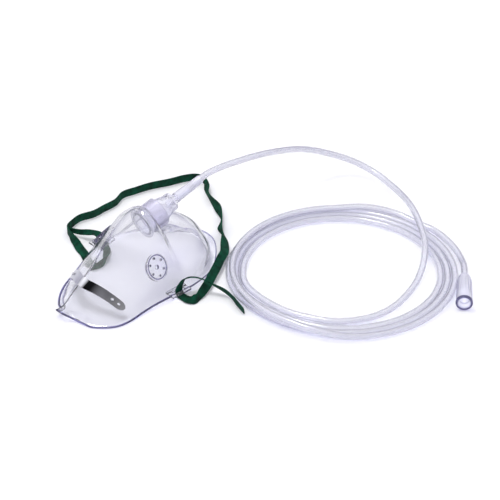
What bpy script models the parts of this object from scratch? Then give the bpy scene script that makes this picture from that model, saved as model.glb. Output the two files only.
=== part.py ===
"""Oxygen face mask: a clear moulded shell with a nose clip, an air adapter in its port, an elastic
head strap and a length of oxygen tubing that lies in a coil beside it.

Units are metres and +Z is up. The mask lies on its rim, as it would be put down on a table.
Inside this file the mask's middle is the origin, +X runs from the nose to the chin and +Y to one
cheek. One empty carries every piece and moves it so that the part's own origin is at the bottom
centre of the mask and its strap.
"""

import math

import bmesh
import bpy
from mathutils import Matrix, Vector
from mathutils.bvhtree import BVHTree

MM = 0.001
GAP = 0.3 * MM

# Shell
NOSE_REACH = 72.5 * MM
CHIN_REACH = 75.0 * MM
HALF_WIDTH = 46.0 * MM
DOME_HEIGHT = 53.0 * MM
SHELL_WALL = 1.0 * MM
SHELL_LEVELS = 1
FLANGE_CHEEK = 3.0 * MM
FLANGE_CHIN = 7.0 * MM
FLANGE_RISE = 1.5 * MM
NOSE_LIP = 7.0 * MM
LEAN = 12.0 * MM

# Port, whose middle is a share of the shell's size and whose bore takes the adapter
PORT_OUTER = 22.0 * MM
PORT_BORE = 20.0 * MM
PORT_OUT = 8.0 * MM
PORT_IN = 3.2 * MM
PORT_TILT = math.radians(13.0)

# Vent discs on the cheeks
VENT_DISC = 20.5 * MM
VENT_PROUD = 1.1 * MM
VENT_BREADTH = 0.84
VENT_TURN = math.radians(6.0)
VENT_SET = math.radians(41.0)
VENT_CIRCLE = 13.6 * MM
VENT_HOLE = 1.9 * MM
VENT_CENTRE_HOLE = 3.4 * MM
VENT_HOLES = 6

# Strap lugs on the flange
LUG_LENGTH = 17.0 * MM
LUG_REACH = 9.0 * MM
LUG_THICK = 1.6 * MM
SLOT_LENGTH = 10.5 * MM
SLOT_WIDTH = 3.6 * MM
SLOT_BAR = 2.4 * MM

# Nose clip
CLIP_WIDTH = 7.0 * MM
CLIP_SPAN = 28.5 * MM
CLIP_THICK = 0.8 * MM
CLIP_MIDDLE = -49.0 * MM
CLIP_SWEEP = 11.0 * MM
PEG_DIAMETER = 1.8 * MM
PEG_PROUD = 0.6 * MM
PEG_PITCH = 4.4 * MM
PEG_FROM_END = 4.0 * MM

# Air adapter
LIP_DIAMETER = 23.4 * MM
LIP_THICK = 1.4 * MM
LIP_DEPTH = 8.0 * MM
ADAPTER_WALL = 1.3 * MM
CONE_START = 18.6 * MM
CONE_END = 14.0 * MM
CONE_LENGTH = 9.0 * MM
COLLAR_LENGTH = 3.2 * MM
NECK_DIAMETER = 7.6 * MM
NECK_LENGTH = 3.6 * MM
BARB_DIAMETER = 4.6 * MM
BARB_LENGTH = 13.0 * MM
GAS_BORE = 2.6 * MM
WINDOWS = 6
WINDOW_LENGTH = 3.4 * MM
WINDOW_WIDTH = 2.2 * MM

# Tubing
TUBE = 5.0 * MM
CUFF_DIAMETER = 7.4 * MM
CUFF_NARROW = 6.6 * MM
CUFF_LENGTH = 25.0 * MM
CUFF_STEP = 9.5 * MM
CUFF_SEAT = 8.0 * MM
TUBE_SIDES = 2

# Coil of tubing
COIL_CENTRE = (112.0 * MM, -107.0 * MM)
COIL_STRAND_RADIUS = 76.2 * MM
COIL_STRANDS_WIDE = 3
COIL_STRAND_PITCH = 5.2 * MM
COIL_HEIGHT = 9.4 * MM
COIL_CORNER = 2.2 * MM

# End connector
MOUTH_DIAMETER = 12.4 * MM
MOUTH_BORE = 9.4 * MM
MOUTH_DEPTH = 15.0 * MM
MOUTH_LENGTH = 13.0 * MM
END_CUFF_DIAMETER = 8.0 * MM
END_FLARE = 7.0 * MM
END_LENGTH = 33.0 * MM

# Head strap
STRAP_WIDTH = 6.8 * MM
STRAP_THICK = 0.9 * MM

COLLECTION = "oxygen_face_mask"
PART_COLLECTION = None
CUTTER_COLLECTION = None
FRAME = None


def clear_scene():
    """Remove what the file holds before the part is made."""
    for obj in list(bpy.data.objects):
        bpy.data.objects.remove(obj, do_unlink=True)


def new_collection(name):
    """Add a collection to the scene."""
    collection = bpy.data.collections.new(name)
    bpy.context.scene.collection.children.link(collection)
    return collection


def add_object(name, mesh, cutter=False):
    """Put a mesh in the part's collection, or in the cutters', on the empty that carries the part."""
    obj = bpy.data.objects.new(name, mesh)
    (CUTTER_COLLECTION if cutter else PART_COLLECTION).objects.link(obj)
    obj.parent = FRAME
    if cutter:
        obj.hide_render = True
        obj.display_type = "WIRE"
    return obj


def give_material(obj, name, colour, roughness, metallic=0.0, alpha=1.0):
    """Give a piece its own plain material."""
    material = bpy.data.materials.new(name)
    material.use_nodes = True
    shader = material.node_tree.nodes["Principled BSDF"]
    shader.inputs["Base Color"].default_value = (*colour, 1.0)
    shader.inputs["Roughness"].default_value = roughness
    shader.inputs["Metallic"].default_value = metallic
    shader.inputs["Alpha"].default_value = alpha
    material.diffuse_color = (*colour, alpha)
    obj.data.materials.clear()
    obj.data.materials.append(material)


def smooth(obj, angle=35.0):
    """Shade a piece smooth, with its hard edges kept."""
    obj.data.shade_smooth()
    obj.data.set_sharp_from_angle(angle=math.radians(angle))


def bake(obj, name=None):
    """Replace an object by the mesh that its modifiers make."""
    bpy.context.view_layer.update()
    evaluated = obj.evaluated_get(bpy.context.evaluated_depsgraph_get())
    mesh = bpy.data.meshes.new_from_object(evaluated)
    tidy = bmesh.new()
    tidy.from_mesh(mesh)
    bmesh.ops.remove_doubles(tidy, verts=tidy.verts, dist=0.00001)
    tidy.to_mesh(mesh)
    tidy.free()
    new_name = name or obj.name
    matrix = obj.matrix_local.copy()
    bpy.data.objects.remove(obj, do_unlink=True)
    baked = add_object(new_name, mesh)
    baked.matrix_local = matrix
    return baked


def boolean(obj, cutter, operation):
    """Cut a piece with another shape, or join the two."""
    modifier = obj.modifiers.new(operation.lower(), "BOOLEAN")
    modifier.operation = operation
    modifier.object = cutter
    return modifier


def along(origin, direction):
    """Frame whose +Z points along a direction from an origin."""
    turn = Vector(direction).to_track_quat("Z", "Y").to_matrix().to_4x4()
    return Matrix.Translation(Vector(origin)) @ turn


def cylinder(name, radius, low, high, frame, segments=24, cutter=True):
    """Round bar between two heights on a frame's axis."""
    mesh = bpy.data.meshes.new(name)
    shape = bmesh.new()
    bmesh.ops.create_cone(shape, cap_ends=True, segments=segments, radius1=radius, radius2=radius,
                          depth=high - low)
    bmesh.ops.translate(shape, verts=shape.verts, vec=(0, 0, (low + high) / 2))
    shape.to_mesh(mesh)
    shape.free()
    obj = add_object(name, mesh, cutter)
    obj.matrix_local = frame
    return obj


def block(name, size, frame, cutter=True):
    """Rectangular block centred on a frame."""
    mesh = bpy.data.meshes.new(name)
    shape = bmesh.new()
    bmesh.ops.create_cube(shape, size=1.0)
    bmesh.ops.scale(shape, verts=shape.verts, vec=size)
    shape.to_mesh(mesh)
    shape.free()
    obj = add_object(name, mesh, cutter)
    obj.matrix_local = frame
    return obj


def turned(name, profile, frame, steps=32):
    """Turned piece from a closed outline of (radius, height) that runs down its outer side."""
    mesh = bpy.data.meshes.new(name)
    shape = bmesh.new()
    verts = [shape.verts.new((radius, 0.0, height)) for radius, height in profile]
    for first, second in zip(verts, verts[1:] + verts[:1]):
        shape.edges.new((first, second))
    shape.to_mesh(mesh)
    shape.free()
    obj = add_object(name, mesh)
    obj.matrix_local = frame
    screw = obj.modifiers.new("turn", "SCREW")
    screw.steps = steps
    screw.render_steps = steps
    screw.use_merge_vertices = True
    screw.merge_threshold = 0.00001
    return obj


def catmull(points, count):
    """Even steps along a smooth curve through the points, of any number of coordinates."""
    points = [Vector(point) for point in points]
    fine = []
    per_span = 24
    for index in range(len(points) - 1):
        before = points[max(index - 1, 0)]
        start, end = points[index], points[index + 1]
        after = points[min(index + 2, len(points) - 1)]
        for step in range(per_span):
            t = step / per_span
            fine.append(0.5 * ((2 * start) + (end - before) * t
                               + (2 * before - 5 * start + 4 * end - after) * t * t
                               + (3 * start - before - 3 * end + after) * t * t * t))
    fine.append(points[-1])
    reach = [0.0]
    for first, second in zip(fine, fine[1:]):
        reach.append(reach[-1] + (second - first).length)
    result = []
    at = 0
    for step in range(count):
        target = reach[-1] * step / (count - 1)
        while at < len(reach) - 2 and reach[at + 1] < target:
            at += 1
        share = (target - reach[at]) / (reach[at + 1] - reach[at])
        result.append(fine[at].lerp(fine[at + 1], min(max(share, 0.0), 1.0)))
    return result


def tube(name, route, radius, spacing):
    """Plain round tube along a smooth curve through the route's points."""
    rough = catmull(route, 40)
    length = sum((b - a).length for a, b in zip(rough, rough[1:]))
    points = catmull(route, max(4, round(length / spacing) + 1))
    curve = bpy.data.curves.new(name, "CURVE")
    curve.dimensions = "3D"
    curve.bevel_depth = radius
    curve.bevel_resolution = TUBE_SIDES
    curve.use_fill_caps = True
    spline = curve.splines.new("POLY")
    spline.points.add(len(points) - 1)
    for target, point in zip(spline.points, points):
        target.co = (*point, 1.0)
    return add_object(name, curve)


# Shell form, as shares of the driving sizes: x of the nose or chin reach, y of the half width,
# z of the dome height
OUTLINE = (
    (-1.000, 0.000, 0.130), (-0.990, 0.087, 0.118), (-0.960, 0.160, 0.070), (-0.920, 0.190, 0.030),
    (-0.889, 0.239, 0.019), (-0.878, 0.359, 0.009), (-0.831, 0.470, 0.009), (-0.757, 0.572, 0.009),
    (-0.649, 0.696, 0.009), (-0.453, 0.774, 0.026), (-0.243, 0.826, 0.049), (-0.020, 0.935, 0.068),
    (0.075, 0.974, 0.072), (0.267, 0.978, 0.068), (0.440, 0.913, 0.034), (0.667, 0.761, 0.009),
    (0.867, 0.467, 0.009), (0.973, 0.217, 0.009), (1.000, 0.000, 0.009),
)

# Stations from the nose to the chin: the middle line (x, z), the panel crease (x, y, z), how far the
# cheek swells out between the crease and the flange, and the x at which the station meets the outline
STATIONS = (
    ((-0.851, 0.208), (-0.838, 0.085, 0.179), 0.020, -0.862),
    ((-0.750, 0.302), (-0.736, 0.075, 0.274), 0.030, -0.811),
    ((-0.635, 0.396), (-0.622, 0.075, 0.368), 0.035, -0.703),
    ((-0.500, 0.494), (-0.486, 0.104, 0.460), 0.035, -0.554),
    ((-0.297, 0.638), (-0.297, 0.226, 0.570), 0.045, -0.324),
    ((-0.081, 0.821), (-0.095, 0.348, 0.660), 0.040, -0.081),
    ((0.100, 0.962), (0.080, 0.426, 0.732), 0.005, 0.107),
    ((0.220, 0.977), (0.193, 0.424, 0.736), -0.010, 0.213),
    ((0.317, 0.553), (0.293, 0.293, 0.632), 0.000, 0.293),
    ((0.507, 0.613), (0.493, 0.435, 0.547), 0.080, 0.467),
    ((0.653, 0.557), (0.640, 0.435, 0.481), 0.090, 0.640),
    ((0.773, 0.434), (0.747, 0.370, 0.330), 0.075, 0.780),
    ((0.869, 0.236), (0.833, 0.250, 0.198), 0.050, 0.880),
)
DOME_FRONT = 7
NOSE_CORNER = -0.905
NOSE_SIDE = -0.878
CHIN_SIDE = 0.915
CHIN_CORNER = 0.930
PULLS = 2

# Sway of the nose end as the soft mask lies, as a share of the lean, by x
SWAY = ((-1.03, 0.80), (-0.85, 1.00), (-0.67, 0.97), (-0.55, 0.83), (-0.45, 0.66), (-0.24, 0.41),
        (-0.07, 0.18), (0.105, 0.0))
SWAY_RIDGE = 0.45
SWAY_SIDE = 0.39
COLUMNS = 6
PORT_AT = (0.275, 0.768)
VENT_AT = (-0.013, 0.660)
LUG_AT = 0.105


def shell_point(x, y, z):
    """Point of the shell from its shares of the driving sizes."""
    reach = NOSE_REACH if x < 0 else CHIN_REACH
    return Vector((x * reach, y * HALF_WIDTH, z * DOME_HEIGHT))


def lean(point):
    """Sway of the soft nose end: the rim moves most and the top of the dome hardly at all."""
    share = point.x / (NOSE_REACH if point.x < 0 else CHIN_REACH)
    amount = 0.0
    for (low, first), (high, second) in zip(SWAY, SWAY[1:]):
        if low <= share <= high:
            amount = first + (second - first) * (share - low) / (high - low)
    height = max(1.0 - point.z / DOME_HEIGHT, 0.25)
    side = SWAY_RIDGE + (1.0 - SWAY_RIDGE) * min(abs(point.y) / (SWAY_SIDE * HALF_WIDTH), 1.0)
    return Vector((point.x, point.y - LEAN * amount * height * side, point.z))


def outline_point(fine, x):
    """Place on the outline at a share of the nose or chin reach."""
    place = x * (NOSE_REACH if x < 0 else CHIN_REACH)
    return min(range(len(fine)), key=lambda index: abs(fine[index].x - place))


def outline_points():
    """Edge of the flange, with one point for each row and column of the cage that ends on it."""
    fine = catmull([shell_point(*point) for point in OUTLINE], 601)
    last = len(fine) - 1
    marks = [NOSE_CORNER, NOSE_SIDE] + [station[3] for station in STATIONS] + [CHIN_SIDE, CHIN_CORNER]
    side = [outline_point(fine, mark) for mark in marks]
    steps = range(COLUMNS + 1)
    nose = [fine[round(side[0] * step / COLUMNS)] for step in steps]
    chin = [fine[round(last - (last - side[-1]) * step / COLUMNS)] for step in steps]
    return nose, [fine[index] for index in side], chin


def inset(point, before, after, width):
    """Fold of the flange, inside its edge."""
    run = after - before
    inward = Vector((run.y, -run.x, 0.0)).normalized()
    fold = point + inward * width
    fold.z += FLANGE_RISE
    return fold


def shell_cage():
    """Half of the coarse cage, as rows from the nose to the chin and columns down to the rim."""
    nose, side, chin = outline_points()
    nose_fold = []
    chin_fold = []
    for step in range(COLUMNS + 1):
        before, after = max(step - 1, 0), min(step + 1, COLUMNS)
        share = step / COLUMNS
        width = NOSE_LIP + (FLANGE_CHEEK - NOSE_LIP) * share
        nose_fold.append(inset(nose[step], nose[before], nose[after], width))
        chin_fold.append(inset(chin[step], chin[after], chin[before], FLANGE_CHIN))
    nose_fold[0].y = 0.0
    chin_fold[0].y = 0.0
    side_fold = []
    last = len(side) - 1
    for row, point in enumerate(side):
        share = min(max((point.x / CHIN_REACH - 0.4) / 0.6, 0.0), 1.0)
        width = FLANGE_CHEEK + (FLANGE_CHIN - FLANGE_CHEEK) * share
        side_fold.append(inset(point, side[max(row - 1, 0)], side[min(row + 1, last)], width))
    cage = [nose, nose_fold[:-1] + [side[1]]]
    for index, (middle, crease, swell, _) in enumerate(STATIONS):
        row = index + 2
        top = shell_point(middle[0], 0.0, middle[1])
        edge = shell_point(*crease)
        fold = side_fold[row]
        arch = top.lerp(edge, 0.5)
        arch.z += 0.12 * (top.z - edge.z) + 0.05 * edge.y
        fall = fold - edge
        out = Vector((0.0, -fall.z, fall.y)).normalized()
        upper = edge.lerp(fold, 0.38) + out * swell * HALF_WIDTH
        lower = edge.lerp(fold, 0.78) + out * swell * HALF_WIDTH * 1.1
        cage.append([top, arch, edge, upper, lower, fold, side[row]])
    cage.append(chin_fold[:-1] + [side[-2]])
    cage.append(chin)
    return cage


def pull_cage(obj):
    """Move the cage until the smoothed form passes through the stations."""
    wanted = [vertex.co.copy() for vertex in obj.data.vertices]
    for _ in range(PULLS):
        bpy.context.view_layer.update()
        smoothed = obj.evaluated_get(bpy.context.evaluated_depsgraph_get()).to_mesh()
        for vertex, target, reached in zip(obj.data.vertices, wanted, smoothed.vertices):
            vertex.co += 0.8 * (target - reached.co)
        obj.data.update()


def make_shell_surface():
    """Shell's outer form: the cage, creased, smoothed and given its wall."""
    cage = shell_cage()
    mesh = bpy.data.meshes.new("mask_shell")
    shape = bmesh.new()
    crease = shape.edges.layers.float.new("crease_edge")
    grid = []
    for row in cage:
        other = [Vector((point.x, -point.y, point.z)) for point in reversed(row[1:])]
        grid.append([shape.verts.new(lean(point)) for point in other + row])
    middle = COLUMNS
    for first, second in zip(grid, grid[1:]):
        for column in range(2 * COLUMNS):
            shape.faces.new((first[column], second[column], second[column + 1], first[column + 1]))
    for row in range(1, DOME_FRONT + 2):
        for column in (middle - 2, middle + 2):
            edge = shape.edges.get((grid[row][column], grid[row + 1][column]))
            edge[crease] = 0.75
    for column in range(middle - 3, middle + 3):
        edge = shape.edges.get((grid[DOME_FRONT + 3][column], grid[DOME_FRONT + 3][column + 1]))
        edge[crease] = 0.6
    shape.to_mesh(mesh)
    shape.free()
    obj = add_object("mask_shell", mesh)
    smoothing = obj.modifiers.new("smooth", "SUBSURF")
    smoothing.levels = SHELL_LEVELS
    smoothing.render_levels = SHELL_LEVELS
    pull_cage(obj)
    wall = obj.modifiers.new("wall", "SOLIDIFY")
    wall.thickness = SHELL_WALL
    wall.offset = -1.0
    wall.use_even_offset = True
    return bake(obj)


def surface_of(obj):
    """Search tree of a baked object's surface, in the part's own frame."""
    return BVHTree.FromPolygons([vertex.co.copy() for vertex in obj.data.vertices],
                                [tuple(face.vertices) for face in obj.data.polygons])


def drop(surface, x, y):
    """Point and direction of the outer surface under a place."""
    place, normal, _, _ = surface.ray_cast(Vector((x, y, 1.0)), Vector((0, 0, -1)))
    if normal.z < 0:
        normal = -normal
    return place, normal


def port_frame():
    """Frame on the port's axis, with its +Z out of the mask."""
    middle = shell_point(PORT_AT[0], 0.0, PORT_AT[1])
    return along(middle, (math.cos(PORT_TILT), 0.0, math.sin(PORT_TILT)))


def vent_frame(surface, side):
    """Frame on a cheek's vent disc, with its +Z out of the mask."""
    seat = shell_point(VENT_AT[0], VENT_AT[1], 0.0)
    place, _ = drop(surface, seat.x, side * seat.y)
    spread = VENT_DISC * 0.42
    ring = [drop(surface, seat.x + spread * math.cos(turn), side * seat.y + 0.6 * spread * math.sin(turn))
            for turn in (0.0, math.pi / 2, math.pi, 3 * math.pi / 2)]
    lengthwise = (ring[0][0] - ring[2][0]).normalized()
    upward = side * (ring[3][0] - ring[1][0]).normalized()
    upward = (upward - lengthwise * upward.dot(lengthwise)).normalized()
    frame = Matrix((lengthwise, upward, lengthwise.cross(upward))).transposed().to_4x4()
    if side > 0:
        frame = frame @ Matrix.Rotation(math.pi, 4, "Y")
    turn = Matrix.Rotation(side * -VENT_TURN, 4, "Y") @ Matrix.Rotation(side * VENT_SET, 4, "Z")
    return Matrix.Translation(place) @ frame @ turn @ Matrix.Diagonal((VENT_BREADTH, 1.0, 1.0, 1.0))


def lug_height():
    """Height of the flange's edge beside the strap lugs."""
    fine = catmull([shell_point(*point) for point in OUTLINE], 401)
    near = min(fine, key=lambda point: abs(point.x - LUG_AT * CHIN_REACH) + (0 if point.y > 0.02 else 1))
    return near


def clip_seat(surface, share):
    """Middle of the nose clip at a share of its half length, seen from above."""
    straight = Vector((CLIP_MIDDLE + CLIP_SWEEP * abs(share), CLIP_SPAN * share, 0.0))
    seat = lean(straight)
    for _ in range(4):
        straight.z = drop(surface, seat.x, seat.y)[0].z
        seat = lean(straight)
    return seat


def clip_row(surface, share):
    """One line across the nose clip, resting just above the shell."""
    seat = clip_seat(surface, share)
    to_end = CLIP_SPAN * (1.0 - abs(share))
    half = CLIP_WIDTH / 2
    if to_end < half:
        half = max(math.sqrt(half ** 2 - (half - to_end) ** 2), 0.25 * half)
    row = []
    for across in (-half, 0.0, half):
        place, normal = drop(surface, seat.x + across, seat.y)
        row.append(place + normal * 2.3 * GAP)
    return row


def peg_places(surface):
    """Seats of the two pegs at each end of the nose clip."""
    places = []
    for side in (-1, 1):
        for count in range(2):
            seat = clip_seat(surface, side * (1.0 - (PEG_FROM_END + count * PEG_PITCH) / CLIP_SPAN))
            places.append(drop(surface, seat.x, seat.y))
    return places


def make_shell():
    """The one clear moulding: dome, flange, port, vents, strap lugs and clip pegs."""
    shell = make_shell_surface()
    surface = surface_of(shell)
    port = port_frame()
    boolean(shell, cylinder("port_wall", PORT_OUTER / 2, -PORT_IN, PORT_OUT, port, 40), "UNION")
    for side in (-1, 1):
        vent = vent_frame(surface, side)
        disc = cylinder("vent_disc", VENT_DISC / 2, -1.6 * SHELL_WALL, VENT_PROUD, vent, 32)
        boolean(shell, disc, "UNION")
    for place, normal in peg_places(surface):
        height = CLIP_THICK + 3 * GAP + PEG_PROUD
        peg = cylinder("clip_peg", PEG_DIAMETER / 2, -SHELL_WALL / 2, height, along(place, normal), 10)
        boolean(shell, peg, "UNION")
    reach = PORT_OUT + 3 * PORT_IN
    boolean(shell, cylinder("port_bore", PORT_BORE / 2, -reach, reach, port, 40), "DIFFERENCE")
    for side in (-1, 1):
        vent = vent_frame(surface, side)
        for count in range(VENT_HOLES):
            turn = 2 * math.pi * count / VENT_HOLES
            spot = Matrix.Translation((VENT_CIRCLE / 2 * math.cos(turn), VENT_CIRCLE / 2 * math.sin(turn), 0))
            hole = cylinder("vent_hole", VENT_HOLE / 2, -6 * MM, 6 * MM, vent @ spot, 8)
            boolean(shell, hole, "DIFFERENCE")
        hole = cylinder("vent_middle", VENT_CENTRE_HOLE / 2, -6 * MM, 6 * MM, vent, 12)
        boolean(shell, hole, "DIFFERENCE")
    table = block("table", (400 * MM, 400 * MM, 40 * MM), Matrix.Translation((0, 0, -20 * MM)))
    boolean(shell, table, "DIFFERENCE")
    for side in (-1, 1):
        edge = lug_height()
        middle = edge.y + LUG_REACH / 2 - 2 * FLANGE_CHEEK
        seat = Matrix.Translation((edge.x, side * middle, edge.z - 0.15 * MM))
        boolean(shell, block("strap_lug", (LUG_LENGTH, LUG_REACH, LUG_THICK), seat), "UNION")
        out = edge.y + LUG_REACH - 2 * FLANGE_CHEEK - SLOT_BAR - SLOT_WIDTH / 2
        seat = Matrix.Translation((edge.x, side * out, edge.z))
        slot = block("strap_slot", (SLOT_LENGTH, SLOT_WIDTH, 20 * MM), seat)
        boolean(shell, slot, "DIFFERENCE")
    return shell, surface


def make_clip(surface):
    """Aluminium strip that is pinched over the bridge of the nose."""
    steps = 28
    mesh = bpy.data.meshes.new("nose_clip")
    shape = bmesh.new()
    rows = []
    for step in range(steps + 1):
        share = -1.0 + 2.0 * step / steps
        rows.append([shape.verts.new(point) for point in clip_row(surface, share)])
    for first, second in zip(rows, rows[1:]):
        for column in range(2):
            shape.faces.new((first[column], first[column + 1], second[column + 1], second[column]))
    bmesh.ops.recalc_face_normals(shape, faces=shape.faces)
    shape.faces.ensure_lookup_table()
    if shape.faces[steps].normal.z < 0:
        bmesh.ops.reverse_faces(shape, faces=shape.faces)
    shape.to_mesh(mesh)
    shape.free()
    clip = add_object("nose_clip", mesh)
    wall = clip.modifiers.new("sheet", "SOLIDIFY")
    wall.thickness = CLIP_THICK
    wall.offset = 1.0
    clip = bake(clip)
    for place, normal in peg_places(surface):
        radius = PEG_DIAMETER / 2 + GAP
        hole = cylinder("peg_hole", radius, -2 * MM, 4 * MM, along(place, normal), 12)
        boolean(clip, hole, "DIFFERENCE")
    return clip


def make_adapter():
    """Clear push-in adapter: a lip inside the mask, a cone with air windows, and the gas nozzle."""
    sleeve = PORT_BORE / 2 - GAP
    lip = LIP_DIAMETER / 2
    wall = ADAPTER_WALL
    low = -LIP_DEPTH - LIP_THICK
    shoulder = PORT_OUT + 1.0 * MM
    cone_top = shoulder + CONE_LENGTH
    collar_top = cone_top + COLLAR_LENGTH
    neck_top = collar_top + NECK_LENGTH
    barb_top = neck_top + BARB_LENGTH
    bore = GAS_BORE / 2
    barb = BARB_DIAMETER / 2
    outer = [(bore, barb_top), (barb - 0.4 * MM, barb_top), (barb, barb_top - 2 * MM), (barb, neck_top),
             (NECK_DIAMETER / 2, neck_top), (NECK_DIAMETER / 2, collar_top),
             (CONE_END / 2 - 0.5 * MM, collar_top), (CONE_END / 2, collar_top - 0.6 * MM),
             (CONE_END / 2, cone_top), (CONE_START / 2, shoulder), (sleeve, PORT_OUT - 0.5 * MM),
             (sleeve, -LIP_DEPTH), (lip, -LIP_DEPTH), (lip, low)]
    inner = [(sleeve - wall, low), (sleeve - wall, shoulder - wall),
             (CONE_END / 2 - wall, cone_top - wall), (CONE_END / 2 - wall, collar_top - wall),
             (bore + wall, collar_top - wall), (bore + wall, cone_top - 3 * MM), (bore, cone_top - 4 * MM)]
    adapter = bake(turned("port_adapter", outer + inner, port_frame(), 32))
    port = port_frame()
    middle = cone_top - 0.3 * WINDOW_LENGTH
    for count in range(WINDOWS):
        turn = Matrix.Rotation(2 * math.pi * (count + 0.5) / WINDOWS, 4, "Z")
        seat = Matrix.Translation((CONE_END / 2, 0, middle))
        size = (4.5 * wall, WINDOW_WIDTH, WINDOW_LENGTH)
        boolean(adapter, block("air_window", size, port @ turn @ seat), "DIFFERENCE")
    return adapter, neck_top


def sleeve_profile(outer, inner):
    """Closed outline of a sleeve: down its outer side and up its inner side."""
    return list(outer) + list(reversed(inner))


def make_cuff(neck_top):
    """Soft moulded cuff that pushes over the adapter's nozzle and holds the tubing."""
    low = neck_top + GAP
    high = low + CUFF_LENGTH
    barb = BARB_DIAMETER / 2 + GAP
    held = TUBE / 2 + GAP
    outer = [(CUFF_NARROW / 2, high), (CUFF_NARROW / 2, low + CUFF_STEP + 1 * MM),
             (CUFF_DIAMETER / 2, low + CUFF_STEP), (CUFF_DIAMETER / 2, low)]
    inner = [(held, high), (held, high - CUFF_SEAT), (barb, high - CUFF_SEAT), (barb, low)]
    return turned("mask_cuff", sleeve_profile(outer, inner), port_frame(), 24), high


def connector_frame():
    """Frame of the end connector, whose +Z points out of its mouth."""
    heading = Vector((-0.755, -0.655, 0.0)).normalized()
    mouth = Vector((144.0 * MM, -198.0 * MM, MOUTH_DIAMETER / 2 + GAP))
    return along(mouth - heading * END_LENGTH, heading)


def make_connector():
    """Soft flared connector that pushes on the oxygen supply's nipple."""
    held = TUBE / 2 + GAP
    outer = [(MOUTH_DIAMETER / 2, END_LENGTH), (MOUTH_DIAMETER / 2, END_LENGTH - MOUTH_LENGTH),
             (END_CUFF_DIAMETER / 2, END_LENGTH - MOUTH_LENGTH - END_FLARE), (END_CUFF_DIAMETER / 2, 0.0)]
    inner = [(MOUTH_BORE / 2, END_LENGTH), (MOUTH_BORE / 2 - 1.2 * MM, END_LENGTH - MOUTH_DEPTH),
             (held - 2 * GAP, END_LENGTH - MOUTH_DEPTH - 4 * MM), (held - 2 * GAP, CUFF_SEAT),
             (held, CUFF_SEAT), (held, 0.0)]
    return turned("end_connector", sleeve_profile(outer, inner), connector_frame(), 32)


def make_coil():
    """Outer form of the coiled tubing."""
    spread = COIL_STRAND_PITCH * (COIL_STRANDS_WIDE - 1) / 2 + TUBE / 2
    inside = COIL_STRAND_RADIUS - spread
    outside = COIL_STRAND_RADIUS + spread
    cut = COIL_CORNER
    profile = [(outside - cut, COIL_HEIGHT), (outside, COIL_HEIGHT - cut), (outside, cut),
               (outside - cut, 0.0), (inside + cut, 0.0), (inside, cut), (inside, COIL_HEIGHT - cut),
               (inside + cut, COIL_HEIGHT)]
    frame = Matrix.Translation((COIL_CENTRE[0], COIL_CENTRE[1], 0.0))
    return turned("tube_coil", profile, frame, 48)


# Routes of the tubing's free stretches, in millimetres from the mask's middle
LEAD_ROUTE = (
    (87, -1.5, 56.5), (106, -3.5, 56), (128, -4.5, 51), (148, -4, 44), (167, -3.5, 36), (185, -5, 27.5),
    (200, -10, 19), (211, -18, 12.5), (218, -29, 8), (220.5, -42, 5.5), (218, -56, 5.5), (213, -71, 8),
    (206, -85, 11.5), (199.5, -99, 13), (192.5, -111.5, 13), (185, -122, 13), (176.5, -131.5, 12),
    (164.5, -141, 8), (151, -149.5, 4), (137, -155.5, 2.7), (123, -159.5, 2.7), (108.5, -161.5, 2.7),
    (92, -159.5, 2.7), (77, -153, 2.7), (64.5, -142.5, 2.7), (55.5, -129, 2.7), (49.4, -114.5, 2.7),
    (46.7, -99.5, 2.7),
)
TAIL_ROUTE = (
    (198.7, -104.5, 3.2), (200.2, -115, 2.8), (199.5, -126, 2.7), (196.5, -136, 2.7), (192.5, -146, 2.7),
    (187.5, -155, 3.0), (183, -161.5, 4.0),
)

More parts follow.
